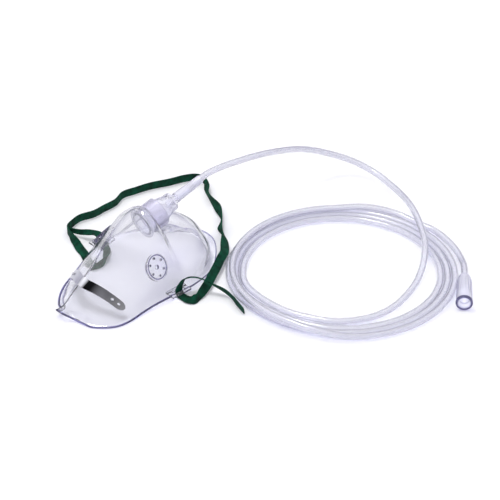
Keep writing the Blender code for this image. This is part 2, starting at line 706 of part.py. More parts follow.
# Route of the head strap, from the tail in the far lug to the tail in the near one: the middle of the
# band in millimetres, then the way its width points, whose length is a share of the full width
STRAP_ROUTE = (
    (-1, 70, 4.2, 0, 0, 0.6), (2, 62, 5, 0.2, 0, 0.6), (5, 55, 6.8, 0.6, 0, 0.4), (7.5, 48.6, 8.0, 0.9, 0, 0),
    (8, 45.0, 7.0, 1, 0, 0), (8, 44.1, 4.4, 1, 0, 0), (8, 43.9, 2.6, 1, 0, 0), (7.5, 42.5, 1.2, 1, 0, 0),
    (5, 36, 0.9, 1, 0.2, 0), (0, 29, 1.8, 0.9, -0.2, 0.5), (-7, 22, 4.0, 0.1, 0, 1), (-15, 21, 4.2, 0, 0, 1),
    (-16.5, 28, 2.4, 0.8, 0, 0.5), (-13.5, 34, 0.7, 1, 0, 0), (-10, 42, 0.7, 1, 0, 0), (-8, 50, 0.9, 1, 0, 0.1),
    (-6.5, 56, 2.4, 0.7, 0, 0.6), (-5.5, 62, 3.6, 0.3, 0, 0.95), (-4, 67, 4, 0, 0, 1), (-1, 73, 4, 0, 0, 1),
    (6, 76, 4, 0, 0, 1), (15, 77.6, 4, 0, 0, 1), (26, 74.7, 4, 0, 0, 1), (37, 75, 4, 0, 0, 1),
    (48, 75.2, 4, 0, 0, 1), (59, 79.3, 4, 0, 0, 1), (70, 77.2, 4, 0, 0, 1), (83, 74, 4, 0, 0, 1),
    (97, 68, 4, 0, 0, 1), (109, 64, 4, 0, 0, 1), (117, 59, 4, 0, 0, 1), (119.5, 52, 4, 0, 0, 1),
    (113.3, 43.6, 4, 0, 0, 1), (104.2, 33.2, 4, 0, 0, 1), (98.4, 18, 4, 0, 0, 1), (92, 5, 4, 0, 0, 1),
    (84.7, -3.3, 4, 0, 0, 1), (79.2, -14.8, 4, 0, 0, 1), (73, -25.2, 4, 0, 0, 1),
    (64.5, -34, 4, -0.1, 0.1, 1), (56, -38.5, 3.6, -0.2, 0.4, 0.9), (48, -43.5, 3.2, -0.3, 0.65, 0.7),
    (39, -48.5, 3.0, -0.35, 0.75, 0.6), (28, -53.5, 3.0, -0.3, 0.75, 0.6), (18.5, -57, 3.4, 0, 0.55, 0.85),
    (11.5, -58.5, 3.0, 0.6, 0.1, 0.8), (8.4, -55, 1.7, 1, 0, 0.3),
    (8, -50, 0.9, 1, 0, 0), (8, -47, 0.9, 1, 0, 0), (8, -45.0, 1.2, 1, 0, 0), (8, -44.0, 2.4, 1, 0, 0),
    (8, -43.8, 4.4, 1, 0, 0), (8.2, -44.0, 6.5, 1, 0, 0),
    (9.5, -44.4, 9.5, 0.8, 0.1, -0.1), (13, -45, 12.6, 0.7, 0.3, -0.3), (18, -48, 13.4, 0.5, 0.45, -0.45),
    (23, -53, 11.6, 0.4, 0.4, -0.4), (27.5, -60, 8, 0.3, 0.35, -0.4), (31.3, -67, 4.8, 0.2, 0.25, -0.45),
    (31.3, -75.5, 3.2, 0.15, 0.2, -0.45), (28.8, -84, 3, 0.15, 0.2, -0.45), (26.3, -93, 3, 0.15, 0.2, -0.45),
)
STRAP_SAMPLES = 120


def make_strap():
    """Elastic band that stands on its edge behind the mask and passes through both lugs."""
    half = STRAP_WIDTH / 2
    route = [[value * MM for value in point[:3]] + [value * half for value in point[3:]]
             for point in STRAP_ROUTE]
    samples = catmull(route, STRAP_SAMPLES)
    mesh = bpy.data.meshes.new("head_strap")
    shape = bmesh.new()
    rings = []
    for index, sample in enumerate(samples):
        middle = Vector(sample[:3])
        before = Vector(samples[max(index - 1, 0)][:3])
        after = Vector(samples[min(index + 1, len(samples) - 1)][:3])
        run = (after - before).normalized()
        width = Vector(sample[3:])
        reach = width.length
        width = (width - run * width.dot(run)).normalized() * reach
        face = run.cross(width).normalized() * (STRAP_THICK / 2)
        corners = [middle + side for side in (width + face, width - face, -width - face, -width + face)]
        lift = max(GAP / 3 - min(corner.z for corner in corners), 0.0)
        rings.append([shape.verts.new(corner + Vector((0, 0, lift))) for corner in corners])
    for first, second in zip(rings, rings[1:]):
        for side in range(4):
            after = (side + 1) % 4
            shape.faces.new((first[side], first[after], second[after], second[side]))
    shape.faces.new(list(reversed(rings[0])))
    shape.faces.new(rings[-1])
    bmesh.ops.recalc_face_normals(shape, faces=shape.faces)
    shape.to_mesh(mesh)
    shape.free()
    return add_object("head_strap", mesh)


def settle_origin(pieces):
    """Put the part's origin at the bottom centre of the mask and its strap."""
    bpy.context.view_layer.update()
    corners = [piece.matrix_world @ Vector(corner) for piece in pieces for corner in piece.bound_box]
    for axis in range(2):
        low = min(corner[axis] for corner in corners)
        high = max(corner[axis] for corner in corners)
        FRAME.location[axis] = -(low + high) / 2


def make_tubing(cuff_top):
    """Free stretches of the tubing, from the cuff to the coil and from the coil to the connector."""
    port = port_frame()
    axis = port.to_3x3() @ Vector((0, 0, 1))
    start = port @ Vector((0, 0, cuff_top - CUFF_SEAT + GAP))
    lead = [start, start + axis * 8 * MM, start + axis * 16 * MM]
    lead += [Vector(point) * MM for point in LEAD_ROUTE]
    end = connector_frame()
    heading = end.to_3x3() @ Vector((0, 0, 1))
    inside = end @ Vector((0, 0, CUFF_SEAT - GAP))
    tail = [Vector(point) * MM for point in TAIL_ROUTE]
    tail += [inside - heading * 14 * MM, inside - heading * 7 * MM, inside]
    return tube("tube_lead", lead, TUBE / 2, 7 * MM), tube("tube_tail", tail, TUBE / 2, 7 * MM)


def main():
    """Build every piece."""
    global PART_COLLECTION, CUTTER_COLLECTION, FRAME
    clear_scene()
    PART_COLLECTION = new_collection(COLLECTION)
    CUTTER_COLLECTION = new_collection("cutters")
    FRAME = bpy.data.objects.new("mask_middle", None)
    PART_COLLECTION.objects.link(FRAME)
    shell, surface = make_shell()
    give_material(shell, "clear_pvc", (0.80, 0.79, 0.90), 0.12, 0.0, 0.4)
    clip = make_clip(surface)
    give_material(clip, "aluminium_strip", (0.55, 0.55, 0.56), 0.3, 1.0)
    adapter, neck_top = make_adapter()
    give_material(adapter, "clear_adapter", (0.85, 0.85, 0.90), 0.1, 0.0, 0.5)
    cuff, cuff_top = make_cuff(neck_top)
    give_material(cuff, "cuff_pvc", (0.80, 0.80, 0.88), 0.2, 0.0, 0.6)
    lead, tail = make_tubing(cuff_top)
    for piece in (lead, tail):
        give_material(piece, "tubing_pvc", (0.75, 0.75, 0.85), 0.15, 0.0, 0.6)
    coil = make_coil()
    give_material(coil, "coil_pvc", (0.72, 0.72, 0.83), 0.15, 0.0, 0.6)
    strap = make_strap()
    give_material(strap, "green_elastic", (0.0, 0.09, 0.05), 0.8)
    connector = make_connector()
    give_material(connector, "connector_pvc", (0.80, 0.80, 0.88), 0.2, 0.0, 0.6)
    for piece in (shell, clip, adapter, cuff, coil, connector):
        if piece.type == "MESH":
            smooth(piece)
    settle_origin((shell, clip, adapter, strap))


main()
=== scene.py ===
# %% [markdown]
# # Oxygen face mask
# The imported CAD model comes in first. Its solids say where everything is, and this file dresses
# them: each solid gives way to a finer piece that lies where the solid does. The tubing is three
# solids in the CAD model and one piece here, as on the real mask.

# %% Load the frame
import math

import bmesh
import bpy
from mathutils import Matrix, Vector
from mathutils.bvhtree import BVHTree


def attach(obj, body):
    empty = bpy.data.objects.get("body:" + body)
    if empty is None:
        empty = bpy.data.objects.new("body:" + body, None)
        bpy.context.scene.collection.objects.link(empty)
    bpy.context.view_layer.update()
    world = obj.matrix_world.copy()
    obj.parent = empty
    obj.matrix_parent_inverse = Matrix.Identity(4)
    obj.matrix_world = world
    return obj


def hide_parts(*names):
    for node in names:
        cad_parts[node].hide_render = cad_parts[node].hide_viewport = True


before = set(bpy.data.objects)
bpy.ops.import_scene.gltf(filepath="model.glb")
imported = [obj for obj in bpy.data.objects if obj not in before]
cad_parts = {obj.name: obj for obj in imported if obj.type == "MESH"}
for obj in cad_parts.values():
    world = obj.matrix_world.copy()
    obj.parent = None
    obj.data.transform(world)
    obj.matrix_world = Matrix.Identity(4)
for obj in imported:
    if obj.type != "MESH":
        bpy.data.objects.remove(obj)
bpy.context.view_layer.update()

MM = 0.001
PART = bpy.data.collections.new("dressed_mask")
bpy.context.scene.collection.children.link(PART)

# %% [markdown]
# The CAD was drawn round the middle of the mask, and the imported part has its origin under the
# middle of the mask and strap together. One offset turns a place in the drawing into a place in
# the part, so every number below can be the one a ruler would give on the mask.

# %% Drawing frame
MASK_MIDDLE = Vector((-23.77829, 6.80437, 0.0)) * MM
TO_PART = Matrix.Translation(MASK_MIDDLE)


def at(x, y, z=0.0):
    """A place in the part, from millimetres measured on the mask."""
    return MASK_MIDDLE + Vector((x, y, z)) * MM


print("mask middle in the part:", tuple(round(v / MM, 2) for v in MASK_MIDDLE))

# %% [markdown]
# The camera stands where the photographer's did. The pixels of a round port and of the ring of
# tubing on the table fix the turn and the height, and the square 500 by 500 picture fixes the lens.

# %% Camera
CAMERA_TURN = math.radians(-43.4)
CAMERA_RISE = math.radians(35.5)
CAMERA_DISTANCE = 1.4
CAMERA_LENS = 134.4


def place_camera():
    data = bpy.data.cameras.new("photo_camera")
    data.lens = CAMERA_LENS
    data.sensor_width = 36.0
    data.sensor_fit = "HORIZONTAL"
    camera = bpy.data.objects.new("photo_camera", data)
    bpy.context.scene.collection.objects.link(camera)
    back = Vector((math.sin(CAMERA_TURN) * math.cos(CAMERA_RISE),
                   -math.cos(CAMERA_TURN) * math.cos(CAMERA_RISE),
                   math.sin(CAMERA_RISE)))
    camera.location = at(84.1, -38.3) + back * CAMERA_DISTANCE
    camera.rotation_euler = back.to_track_quat("Z", "Y").to_euler()
    bpy.context.scene.camera = camera
    return camera


CAMERA = place_camera()
print("camera at", [round(v, 3) for v in CAMERA.location])

# %% [markdown]
# Colours are written as the hex values that an eyedropper gives and turned to linear light by one
# function. One more function adds a shader node with its settings and links in a single line.

# %% Colour and node helpers


def linear(code):
    """A hex colour in linear light, fully opaque."""
    channels = [int(code[i:i + 2], 16) / 255 for i in (1, 3, 5)]
    return tuple(c / 12.92 if c <= 0.04045 else ((c + 0.055) / 1.055) ** 2.4 for c in channels) + (1.0,)


def add_node(tree, kind, settings=None, **inputs):
    """Add one node: settings are its own properties, inputs are values or another node's socket.

    The kind goes without its ShaderNode. An input is named as on the node, with _ for a space, or
    i0, i1 and so on by its number.
    """
    node = tree.nodes.new("ShaderNode" + kind)
    for name, value in (settings or {}).items():
        setattr(node, name, value)
    for name, value in inputs.items():
        numbered = name[0] == "i" and name[1:].isdigit()
        socket = node.inputs[int(name[1:]) if numbered else name.replace("_", " ")]
        if isinstance(value, bpy.types.NodeSocket):
            tree.links.new(value, socket)
        else:
            socket.default_value = value
    return node


def add_ramp(tree, value, tones):
    """A colour ramp over a value, from pairs of a place and a hex colour."""
    ramp = add_node(tree, "ValToRGB", Fac=value)
    for place, _ in tones[2:]:
        ramp.color_ramp.elements.new(place)
    for element, (place, tone) in zip(ramp.color_ramp.elements, tones):
        element.position = place
        element.color = linear(tone)
    return ramp.outputs["Color"]


def new_material(name):
    """An empty node material and its output node."""
    material = bpy.data.materials.new(name)
    material.use_nodes = True
    material.node_tree.nodes.clear()
    return material, material.node_tree, material.node_tree.nodes.new("ShaderNodeOutputMaterial")


print("violet PVC edge in linear light:", [round(c, 3) for c in linear("#6A66A8")])

# %% [markdown]
# ## Oxygen tubing
# One length of clear PVC tubing, 5 mm outside, leaves the cuff, arches down to the table, runs over
# its own coil, goes once round inside it and joins it. The coil lies in three turns side by side.
# The third climbs onto the others in its last quarter, and the rest rolls down their outside and
# leaves for the connector. A single Bezier curve with a round bevel follows it all, because tubing
# is one thing of one thickness, and a Solidify modifier turns the solid bar into a wall with a
# bore. The result is kept as a plain mesh, and the points down the curve's middle are kept as a list.

# %% Tubing route
TUBE_OUTSIDE = 5.0 * MM
TUBE_WALL = 0.95 * MM
TUBE_REST = TUBE_OUTSIDE / 2 / MM + 0.15
LEAD_POINTS = (
    (60.1, 0, 49.9), (68.0, 0, 51.7), (75.8, 0, 53.5),
    (87, -1.5, 54.6), (106, -3.5, 53.6), (128, -4.5, 50), (148, -4, 44.2), (167, -3.5, 37.2), (185, -5, 28.9),
    (200, -10, 21), (211, -18, 15), (218, -29, 10.2), (220.5, -42, 7.2), (218, -56, 6.8), (213, -71, 8.3),
    (206, -85, 11), (198.8, -98, 12.6), (191, -110.5, 12.8), (183.4, -121, 12.6), (175.4, -131, 11.6),
    (164.5, -141, 8), (151, -149.5, 4), (137, -155.8, 2.7), (122.5, -160.3, 2.7), (107.5, -162.8, 2.7),
    (91.5, -161.2, 2.7), (76.5, -154.6, 2.7), (63.7, -143.8, 2.7), (55, -129.6, 2.7), (49, -114.6, 2.7),
    (46.7, -99.5, 2.7),
)
TAIL_POINTS = (
    (200.4, -116.5, 2.8), (199.3, -128.4, 2.7), (196.8, -138.1, 2.7), (193, -147.3, 2.8),
    (188.5, -155.1, 3.4), (183.8, -161.6, 4.6), (179.2, -166.9, 5.9), (174.2, -171.8, 6.5), (168.9, -176.4, 6.5),
    (163.2, -181.3, 6.5),
)
COIL_MIDDLE = (112.0, -107.0)
COIL_TURNS = (71.0, 76.2, 81.4)
COIL_PITCH = 5.2
COIL_FROM = 149.0
COIL_TO = 1.65
COIL_JOIN = (68.2, 162)
COIL_LONG = 1.02
COIL_DEEP = 0.966
COIL_AXIS = Vector((0.727, -0.687))
STEP = 15.0

# Stretches within one turn: the degree each starts at, and how many degrees it takes
SHIFT_OUT = (317, 43)
CLIMB = (270, 45)
ROLL_DOWN = (98, 49)
CLIMB_ANGLE = 60
ROLL_FROM, ROLL_ANGLE = -30, 112


def clamp(share):
    return min(max(share, 0.0), 1.0)


def ease(share):
    """A smooth start and a smooth end between 0 and 1."""
    share = clamp(share)
    return share * share * (3 - 2 * share)


def done_of(stretch, within):
    """How much of a stretch is behind, from 0 to 1, at a degree within the turn."""
    return ease((within - stretch[0]) / stretch[1])


def coil_place(wound):
    """Radius and height of the tubing after so many degrees of winding."""
    turn, within = divmod(wound, 360.0)
    turn = int(turn)
    shift = COIL_PITCH * done_of(SHIFT_OUT, within)
    if turn < 2:
        return COIL_TURNS[turn] + shift, TUBE_REST
    if turn == 2:
        radius = COIL_TURNS[1] + COIL_PITCH * math.sin(math.radians(90 - CLIMB_ANGLE * done_of(CLIMB, within)))
        beside = radius - COIL_TURNS[1] - shift
        return radius, TUBE_REST + math.sqrt(max(COIL_PITCH ** 2 - beside ** 2, 0.0))
    roll = math.radians(ROLL_FROM + ROLL_ANGLE * done_of(ROLL_DOWN, within))
    return COIL_TURNS[2] + COIL_PITCH * math.sin(roll), TUBE_REST + COIL_PITCH * math.cos(roll)


def on_coil(radius, angle, height):
    """A place on the coil, which lies as a slight oval: longer across the picture than away from it."""
    spot = Vector((math.cos(angle), math.sin(angle))) * radius
    along_axis = spot.dot(COIL_AXIS)
    spot = COIL_AXIS * along_axis * COIL_LONG + (spot - COIL_AXIS * along_axis) * COIL_DEEP
    return COIL_MIDDLE[0] + spot.x, COIL_MIDDLE[1] + spot.y, height


def coil_points():
    places = []
    whole = 3 * 360 + COIL_FROM - COIL_TO
    steps = round(whole / STEP)
    for step in range(steps + 1):
        wound = whole * step / steps
        radius, height = coil_place(wound)
        places.append(on_coil(radius, math.radians(COIL_FROM - wound), height))
    return places


JOIN_POINT = on_coil(COIL_JOIN[0], math.radians(COIL_JOIN[1]), TUBE_REST)
TUBE_POINTS = [at(*point) for point in (*LEAD_POINTS, JOIN_POINT, *coil_points(), *TAIL_POINTS)]
print(len(TUBE_POINTS), "points along the tubing")

# %% Tubing curve


def add_piece(name, data):
    obj = bpy.data.objects.new(name, data)
    PART.objects.link(obj)
    return obj


def piece_of(name, shape):
    """A piece with the mesh that was built up in a bmesh."""
    mesh = bpy.data.meshes.new(name)
    shape.to_mesh(mesh)
    shape.free()
    return add_piece(name, mesh)


def smooth(obj, degrees):
    """Soft shading, with a crisp edge where the surface turns by more than so many degrees."""
    obj.data.shade_smooth()
    obj.data.set_sharp_from_angle(angle=math.radians(degrees))


def bezier(name, points, radius, sides=6, steps=4):
    """A round bar on a smooth curve through the points."""
    curve = bpy.data.curves.new(name, "CURVE")
    curve.dimensions = "3D"
    curve.bevel_depth = radius
    curve.bevel_resolution = sides
    curve.resolution_u = steps
    curve.use_fill_caps = False
    spline = curve.splines.new("BEZIER")
    spline.bezier_points.add(len(points) - 1)
    for target, point in zip(spline.bezier_points, points):
        target.co = point
        target.handle_left_type = target.handle_right_type = "AUTO"
    return add_piece(name, curve)


def middle_line(obj):
    """Closely spaced points down the middle of a bevelled curve."""
    bare = bpy.data.objects.new("bare_line", obj.data.copy())
    bare.data.bevel_depth = 0.0
    mesh = bpy.data.meshes.new_from_object(bare)
    points = [tuple(vertex.co) for vertex in mesh.vertices]
    bpy.data.objects.remove(bare)
    bpy.data.meshes.remove(mesh)
    return points


def baked(obj):
    """The mesh that an object's modifiers make, as a new object of the same name."""
    bpy.context.view_layer.update()
    mesh = bpy.data.meshes.new_from_object(obj.evaluated_get(bpy.context.evaluated_depsgraph_get()))
    name, matrix = obj.name, obj.matrix_world.copy()
    bpy.data.objects.remove(obj, do_unlink=True)
    done = add_piece(name, mesh)
    done.matrix_world = matrix
    return done


tubing = bezier("oxygen_tubing", TUBE_POINTS, TUBE_OUTSIDE / 2)
TUBE_MIDDLE = middle_line(tubing)
wall = tubing.modifiers.new("wall", "SOLIDIFY")
wall.thickness = TUBE_WALL
wall.offset = -1.0
tubing = baked(tubing)
tubing.data.shade_smooth()
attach(tubing, "root")
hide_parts("tube_lead", "tube_coil", "tube_tail")

# %% [markdown]
# ## Cuff and end connector
# Both are soft clear sleeves moulded for the tubing: one pushes over the adapter's nozzle, the other
# over the spout of the oxygen supply. Each is a turned shape, so its half outline is carried round
# an axis. Fine ribs along the grip are made by letting the radius ripple on its way round.

# %% Sleeves
CHIN_REACH = 75.0 * MM
DOME_HEIGHT = 53.0 * MM
NECK_TOP = 24.8 * MM
SLEEVE_GAP = 0.3 * MM
CUFF_LENGTH = 25.0 * MM
END_LENGTH = 33.0 * MM
MOUTH_RADIUS = 6.2 * MM


def along(origin, direction):
    """A frame at a place, with its Z axis along a direction."""
    return Matrix.Translation(Vector(origin)) @ Vector(direction).to_track_quat("Z", "Y").to_matrix().to_4x4()


def turned(name, profile, seat, steps=96, ribs=16):
    """A closed outline of (radius, height, rib) in millimetres carried round the seat's axis."""
    shape, rings = bmesh.new(), []
    for step in range(steps):
        turn = 2 * math.pi * step / steps
        ripple = 0.5 + 0.5 * math.cos(ribs * turn)
        rings.append([shape.verts.new(((radius + rib * ripple) * MM * math.cos(turn),
                                       (radius + rib * ripple) * MM * math.sin(turn), height * MM))
                      for radius, height, rib in profile])
    for step, ring in enumerate(rings):
        after = rings[(step + 1) % steps]
        for index in range(len(profile)):
            other = (index + 1) % len(profile)
            shape.faces.new((ring[index], after[index], after[other], ring[other]))
    bmesh.ops.recalc_face_normals(shape, faces=shape.faces)
    obj = piece_of(name, shape)
    obj.data.transform(seat)
    obj.matrix_world = TO_PART
    smooth(obj, 40)
    return obj


PORT_AT = (0.275, 0.768)
PORT_TILT = math.radians(13.0)
PORT = along((PORT_AT[0] * CHIN_REACH, 0.0, PORT_AT[1] * DOME_HEIGHT),
             (math.cos(PORT_TILT), 0.0, math.sin(PORT_TILT)))
LOW = (NECK_TOP + SLEEVE_GAP) / MM
TOP = LOW + CUFF_LENGTH / MM
cuff = turned("soft_cuff", (
    (2.8, TOP - 0.3, 0), (3.1, TOP, 0), (3.3, TOP - 0.4, 0), (3.3, LOW + 17, 0), (3.2, LOW + 16.5, 0.25),
    (3.25, LOW + 11, 0.25), (3.4, LOW + 10.4, 0), (3.6, LOW + 9.5, 0), (3.75, LOW + 1.2, 0), (3.95, LOW + 1.0, 0),
    (3.95, LOW + 0.2, 0), (3.7, LOW, 0), (2.6, LOW, 0), (2.6, LOW + 17, 0), (2.8, LOW + 17, 0)), PORT)
HEADING = Vector((-0.755, -0.655, 0.0)).normalized()
MOUTH = Vector((144.0 * MM, -198.0 * MM, MOUTH_RADIUS + SLEEVE_GAP))
CONNECTOR_SEAT = along(MOUTH - HEADING * END_LENGTH, HEADING)
connector = turned("end_connector_sleeve", (
    (4.8, 33.0, 0), (6.0, 33.0, 0), (6.2, 32.7, 0), (6.2, 31.2, 0), (5.9, 30.9, 0), (5.8, 22.0, 0),
    (5.4, 21.4, 0.35), (5.1, 6.5, 0.35), (5.0, 5.6, 0), (4.7, 3.6, 0), (4.1, 1.6, 0), (3.7, 0.8, 0),
    (3.3, 0.5, 0), (2.7, 0.5, 0), (2.7, 9.0, 0), (2.2, 9.2, 0), (2.2, 13.0, 0), (3.3, 16.0, 0), (3.4, 27.5, 0),
    (4.4, 28.0, 0), (4.8, 32.7, 0)), CONNECTOR_SEAT)
for sleeve, node in ((cuff, "mask_cuff"), (connector, "end_connector")):
    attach(sleeve, "root")
    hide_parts(node)

# %% [markdown]
# ## Mask shell
# The real shell is one moulding of soft clear PVC about a millimetre thick. It is drawn as a coarse
# cage: rows of points from the nose to the chin, each with the middle of the dome, the crease where
# the cheek panel starts, two points down the cheek, the fold of the flange and its edge. A
# Subdivision Surface rounds the cage, and the cage is pulled until the round form passes through
# the measured points. Solidify then gives it a wall. This suits thin moulded shells better than
# carving a block, because the wall stays even everywhere.

# %% Shell sizes
NOSE_REACH = 72.5 * MM
HALF_WIDTH = 46.0 * MM
SHELL_WALL = 1.0 * MM
SHELL_LEVELS = 3
FLANGE_CHEEK = 3.0 * MM
FLANGE_CHIN = 7.0 * MM
FLANGE_FROM = 0.4
FLANGE_RISE = 1.5 * MM
NOSE_LIP = 7.0 * MM
LEAN = 12.0 * MM

# The rim from nose to chin, as shares of the reach, the half width and the dome's height
OUTLINE = (
    (-1.000, 0.000, 0.130), (-0.990, 0.087, 0.118), (-0.948, 0.152, 0.075), (-0.915, 0.186, 0.034),
    (-0.889, 0.239, 0.019), (-0.878, 0.359, 0.009), (-0.831, 0.470, 0.009), (-0.757, 0.572, 0.009),
    (-0.649, 0.696, 0.009), (-0.453, 0.774, 0.026), (-0.243, 0.826, 0.049), (-0.020, 0.935, 0.068),
    (0.075, 0.974, 0.072), (0.267, 0.978, 0.068), (0.440, 0.913, 0.034), (0.667, 0.761, 0.009),
    (0.867, 0.467, 0.009), (0.973, 0.217, 0.009), (1.000, 0.000, 0.009),
)

# Rows of the cage: middle (x, z), crease (x, y, z), swell of the cheek, and the row's x on the rim
STATIONS = (
    ((-0.851, 0.208), (-0.838, 0.085, 0.179), 0.020, -0.862),
    ((-0.750, 0.302), (-0.736, 0.075, 0.274), 0.030, -0.811),
    ((-0.635, 0.396), (-0.622, 0.075, 0.368), 0.035, -0.703),
    ((-0.500, 0.494), (-0.486, 0.104, 0.460), 0.035, -0.554),
    ((-0.297, 0.638), (-0.297, 0.226, 0.570), 0.045, -0.324),
    ((-0.081, 0.821), (-0.095, 0.348, 0.660), 0.040, -0.081),
    ((0.100, 0.962), (0.080, 0.426, 0.732), 0.005, 0.107),
    ((0.220, 0.977), (0.193, 0.424, 0.736), -0.010, 0.213),
    ((0.317, 0.553), (0.293, 0.293, 0.632), 0.000, 0.293),
    ((0.507, 0.613), (0.493, 0.435, 0.547), 0.080, 0.467),
    ((0.653, 0.557), (0.640, 0.435, 0.481), 0.090, 0.640),
    ((0.773, 0.434), (0.747, 0.370, 0.330), 0.075, 0.780),
    ((0.869, 0.236), (0.833, 0.250, 0.198), 0.050, 0.880),
)
DOME_FRONT = 7
NOSE_CORNER = -0.905
NOSE_SIDE = -0.878
CHIN_SIDE = 0.915
CHIN_CORNER = 0.930
PULLS = 2

# Sway of the nose end as the soft mask lies, as a share of the lean, by x
SWAY = ((-1.03, 0.80), (-0.85, 1.00), (-0.67, 0.97), (-0.55, 0.83), (-0.45, 0.66), (-0.24, 0.41),
        (-0.07, 0.18), (0.105, 0.0))
SWAY_RIDGE = 0.45
SWAY_SIDE = 0.39
SWAY_TOP = 0.25

# The far nose corner is tucked in: where along the nose it starts, over how much, and how far across
NOSE_TUCK = 3.6 * MM
TUCK_FROM, TUCK_OVER, TUCK_ACROSS = 0.84, 0.12, 0.16
COLUMNS = 6


# %% Cage helpers


def shell_point(x, y, z):
    """A point of the shell from its shares of the driving sizes."""
    return Vector((x * (NOSE_REACH if x < 0 else CHIN_REACH), y * HALF_WIDTH, z * DOME_HEIGHT))


def catmull(points, count):
    """Even steps along a smooth curve through the points."""
    points = [Vector(point) for point in points]
    fine = []
    for index in range(len(points) - 1):
        before, start = points[max(index - 1, 0)], points[index]
        end, after = points[index + 1], points[min(index + 2, len(points) - 1)]
        for step in range(24):
            t = step / 24
            fine.append(0.5 * ((2 * start) + (end - before) * t + (2 * before - 5 * start + 4 * end - after) * t * t
                               + (3 * start - before - 3 * end + after) * t * t * t))
    fine.append(points[-1])
    reach = [0.0]
    for first, second in zip(fine, fine[1:]):
        reach.append(reach[-1] + (second - first).length)
    result, place = [], 0
    for step in range(count):
        target = reach[-1] * step / (count - 1)
        while place < len(reach) - 2 and reach[place + 1] < target:
            place += 1
        share = (target - reach[place]) / (reach[place + 1] - reach[place])
        result.append(fine[place].lerp(fine[place + 1], clamp(share)))
    return result


def lean(point):
    """Sway of the soft nose end: the rim moves most and the top of the dome hardly at all."""
    share = point.x / (NOSE_REACH if point.x < 0 else CHIN_REACH)
    amount = 0.0
    for (low, first), (high, second) in zip(SWAY, SWAY[1:]):
        if low <= share <= high:
            amount = first + (second - first) * (share - low) / (high - low)
    height = max(1.0 - point.z / DOME_HEIGHT, SWAY_TOP)
    side = SWAY_RIDGE + (1.0 - SWAY_RIDGE) * min(abs(point.y) / (SWAY_SIDE * HALF_WIDTH), 1.0)
    tuck = NOSE_TUCK * ease((-share - TUCK_FROM) / TUCK_OVER) * clamp(point.y / (TUCK_ACROSS * HALF_WIDTH))
    return Vector((point.x, point.y - LEAN * amount * height * side - tuck, point.z))


def outline_point(fine, x):
    """Index of the outline's point nearest to a share of the length."""
    place = x * (NOSE_REACH if x < 0 else CHIN_REACH)
    return min(range(len(fine)), key=lambda index: abs(fine[index].x - place))


def outline_points():
    """Edge of the flange, with one point for each row and column of the cage that ends on it."""
    fine = catmull([shell_point(*point) for point in OUTLINE], 601)
    last = len(fine) - 1
    marks = [NOSE_CORNER, NOSE_SIDE] + [station[3] for station in STATIONS] + [CHIN_SIDE, CHIN_CORNER]
    side = [outline_point(fine, mark) for mark in marks]
    steps = range(COLUMNS + 1)
    nose = [fine[round(side[0] * step / COLUMNS)] for step in steps]
    chin = [fine[round(last - (last - side[-1]) * step / COLUMNS)] for step in steps]
    return nose, [fine[index] for index in side], chin


def inset(point, before, after, width):
    """The fold of the flange, so far inside a point of its edge."""
    run = after - before
    fold = point + Vector((run.y, -run.x, 0.0)).normalized() * width
    fold.z += FLANGE_RISE
    return fold


def shell_cage():
    """Half of the coarse cage, as rows from the nose to the chin and columns down to the rim."""
    nose, side, chin = outline_points()
    nose_fold, chin_fold, side_fold = [], [], []
    for step in range(COLUMNS + 1):
        before, after = max(step - 1, 0), min(step + 1, COLUMNS)
        width = NOSE_LIP + (FLANGE_CHEEK - NOSE_LIP) * step / COLUMNS
        nose_fold.append(inset(nose[step], nose[before], nose[after], width))
        chin_fold.append(inset(chin[step], chin[after], chin[before], FLANGE_CHIN))
    nose_fold[0].y = chin_fold[0].y = 0.0
    last = len(side) - 1
    for row, point in enumerate(side):
        share = clamp((point.x / CHIN_REACH - FLANGE_FROM) / (1 - FLANGE_FROM))
        width = FLANGE_CHEEK + (FLANGE_CHIN - FLANGE_CHEEK) * share
        side_fold.append(inset(point, side[max(row - 1, 0)], side[min(row + 1, last)], width))
    cage = [nose, nose_fold[:-1] + [side[1]]]
    for index, (middle, crease, swell, _) in enumerate(STATIONS):
        top, edge, fold = shell_point(middle[0], 0.0, middle[1]), shell_point(*crease), side_fold[index + 2]
        arch = top.lerp(edge, 0.5)
        arch.z += 0.12 * (top.z - edge.z) + 0.05 * edge.y
        fall = fold - edge
        out = Vector((0.0, -fall.z, fall.y)).normalized() * swell * HALF_WIDTH
        cage.append([top, arch, edge, edge.lerp(fold, 0.38) + out, edge.lerp(fold, 0.78) + out * 1.1, fold,
                     side[index + 2]])
    return cage + [chin_fold[:-1] + [side[-2]], chin]


CAGE = shell_cage()
print(len(CAGE), "rows of", 2 * COLUMNS + 1, "points")

# %% Build the shell surface


def pull_cage(obj, pulls):
    """Move the cage until the smoothed form passes through the measured points."""
    wanted = [vertex.co.copy() for vertex in obj.data.vertices]
    for _ in range(pulls):
        bpy.context.view_layer.update()
        smoothed = obj.evaluated_get(bpy.context.evaluated_depsgraph_get()).to_mesh()
        for vertex, target, reached in zip(obj.data.vertices, wanted, smoothed.vertices):
            vertex.co += 0.8 * (target - reached.co)
        obj.data.update()


def edge_loop(obj):
    """The open edge of the smoothed sheet, as points in order."""
    bpy.context.view_layer.update()
    mesh = obj.evaluated_get(bpy.context.evaluated_depsgraph_get()).to_mesh()
    used = {}
    for face in mesh.polygons:
        for pair in face.edge_keys:
            used[pair] = used.get(pair, 0) + 1
    after = {}
    for first, second in [pair for pair, count in used.items() if count == 1]:
        after.setdefault(first, []).append(second)
        after.setdefault(second, []).append(first)
    start = next(iter(after))
    order, here, last = [start], after[start][0], start
    while here != start:
        order.append(here)
        last, here = here, [other for other in after[here] if other != last][0]
    return [mesh.vertices[index].co.copy() for index in order]


RIM = []


